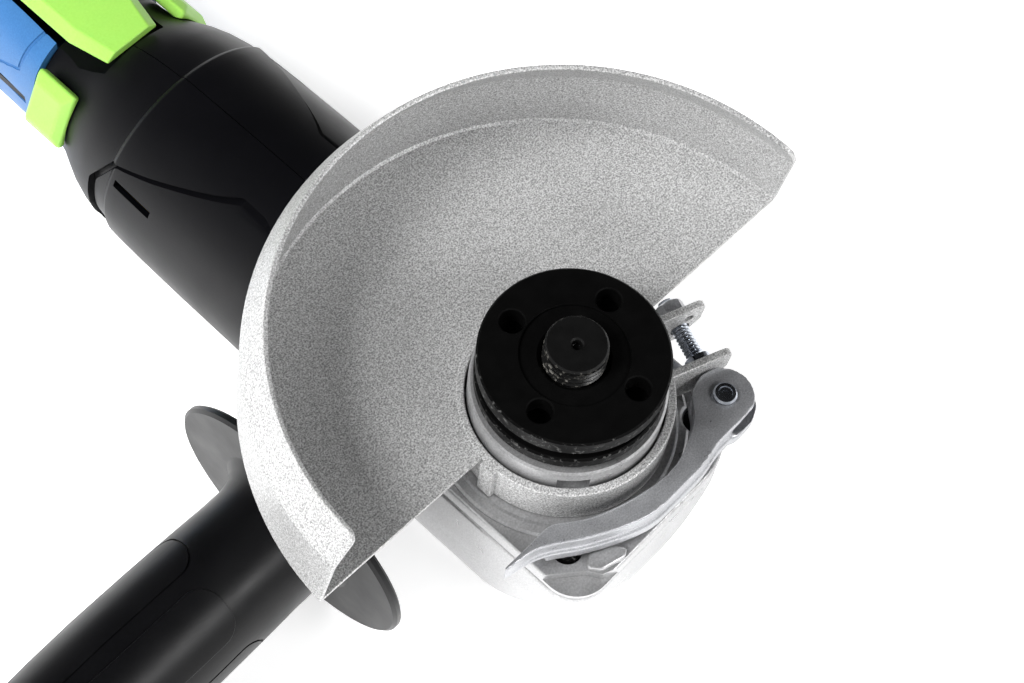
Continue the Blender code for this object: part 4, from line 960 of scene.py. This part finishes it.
# ---- CAD nodes that keep their own shape ----
FRAME_LOOKS = (
    (black_oxide, "cover_screw_1 cover_screw_2 cover_screw_3 cover_screw_4 inner_flange wheel_nut "
                  "spindle"),
    (bright_steel, "housing_screw_1 housing_screw_2 housing_screw_3 housing_screw_4 "
                   "spindle_bearing front_bearing rear_bearing armature_shaft crown_gear pinion "
                   "gear_circlip lock_spring paddle_spring"),
    (zinc_plate, "shell_screw_1 shell_screw_2 shell_screw_3 paddle_pin side_handle_stud "
                 "clamp_screw clamp_nut lever_pin"),
    (cast_aluminium, "gear_case bearing_cover"),
    (guard_paint, "guard_shell guard_band"),
    (lever_zinc, "clamp_lever"),
    (pressed_brass, "spindle_bush brush_holder_left brush_holder_right"),
    (carbon, "brush_left brush_right"),
    (lamination, "armature_core stator_core"),
    (copper_wire, "winding_front winding_rear field_coil_left field_coil_right"),
    (turned_copper, "commutator"),
    (fan_plastic, "cooling_fan lock_button switch_body switch_plunger"),
    (inlay_rubber, "grip_inlay_left grip_inlay_right cord_inlet"),
    (black_plastic, "housing_left housing_right"),
    (blue_plastic, "handle_shell_left handle_shell_right"),
    (lime_plastic, "bumper_left bumper_right switch_paddle"),
    (grip_plastic, "side_handle_grip"),
)


def dress_frame():
    """Give every CAD node its material, replaced ones too."""
    for look, names in FRAME_LOOKS:
        for name in names.split():
            slots = nodes[name].data.materials
            slots.clear()
            slots.append(look)


# ---- studio ----
def camera():
    """Camera above the side handle, turned a little about its own axis."""
    data = bpy.data.cameras.new("camera")
    data.lens = LENS
    data.sensor_width = SENSOR
    azimuth, elevation, roll = (math.radians(v) for v in CAMERA_ANGLES)
    back = Vector((math.sin(azimuth) * math.cos(elevation), -math.cos(azimuth) * math.cos(elevation),
                   math.sin(elevation)))
    level = Vector((math.cos(azimuth), math.sin(azimuth), 0.0))
    upright = level.cross(-back)
    right = level * math.cos(roll) + upright * math.sin(roll)
    up = upright * math.cos(roll) - level * math.sin(roll)
    cam = bpy.data.objects.new("camera", data)
    facing = Matrix((right, up, back)).transposed().to_4x4()
    cam.matrix_world = Matrix.Translation(Vector(CAMERA_AT) * MM) @ facing
    bpy.context.collection.objects.link(cam)
    bpy.context.scene.camera = cam


def area_light(name, place, target, size, power, mirrored=True):
    """Soft box at a place in mm, facing a target; mirrored says whether glossy surfaces show it."""
    data = bpy.data.lights.new(name, "AREA")
    data.shape = "RECTANGLE"
    data.size = size[0] * MM
    data.size_y = size[1] * MM
    data.energy = power
    light = bpy.data.objects.new(name, data)
    light.location = Vector(place) * MM
    light.rotation_mode = "QUATERNION"
    light.rotation_quaternion = (Vector(place) - Vector(target)).to_track_quat("Z", "Y")
    light.visible_glossy = mirrored
    bpy.context.collection.objects.link(light)


def paper():
    """White paper that glows a little, the way a sweep lit from below stays white under the tool."""
    mat = surface("backlit_studio_paper", "F2F2F2", "F8F8F8", (0.9, 0.95), 3.0)
    shader = mat.node_tree.nodes["Principled BSDF"]
    shader.inputs["Emission Color"].default_value = (1.0, 1.0, 1.0, 1.0)
    shader.inputs["Emission Strength"].default_value = FLOOR_GLOW
    return mat


def surroundings():
    """White tent that is bright at eye level, dark overhead and dim on its far side."""
    world = bpy.data.worlds.new("studio")
    world.use_nodes = True
    where = add(world, "TexCoord").outputs["Generated"]
    up = add(world, "SeparateXYZ", Vector=where).outputs["Z"]
    fall = add(world, "MapRange", Value=up, From_Min=0.15, From_Max=0.62, To_Min=HORIZON, To_Max=OVERHEAD)
    toward = add(world, "VectorMath", {"operation": "DOT_PRODUCT"}, in0=where, in1=(0.7, 0.7, 0.0))
    side = add(world, "MapRange", Value=toward.outputs["Value"], From_Min=0.1, From_Max=0.8, To_Min=1.0,
               To_Max=FAR_SIDE)
    both = add(world, "Math", {"operation": "MULTIPLY"}, in0=fall.outputs["Result"],
               in1=side.outputs["Result"])
    back = world.node_tree.nodes["Background"]
    back.inputs["Color"].default_value = (1.0, 1.0, 1.0, 1.0)
    world.node_tree.links.new(both.outputs["Value"], back.inputs["Strength"])
    bpy.context.scene.world = world


def studio():
    """Glowing paper floor, a tent, a large soft box from above and two weaker ones."""
    floor = bmesh.new()
    bmesh.ops.create_grid(floor, x_segments=1, y_segments=1, size=1.6)
    mesh = bpy.data.meshes.new("floor")
    floor.to_mesh(mesh)
    floor.free()
    mesh.materials.append(paper())
    obj = bpy.data.objects.new("floor", mesh)
    bpy.context.collection.objects.link(obj)
    surroundings()
    area_light("key", (-650, 330, 850), (0, 0, 60), (500, 500), 16.0, mirrored=False)
    area_light("front", (-700, -650, 380), (0, 0, 40), (600, 300), 1.2, mirrored=False)
    area_light("right", (150, -700, 700), (-60, 0, 40), (500, 220), 4.0)
    bpy.context.scene.view_settings.view_transform = "Standard"


dress_frame()
guard_cup()
guard_collar()
clamp_hardware()
clamp_lever()
spindle_end()
flange_and_nut()
gear_case_casting()
bearing_cover_casting()
motor_housing()
side_handle()
rear_handle()
switch_paddle()
bumpers()
studio()
camera()
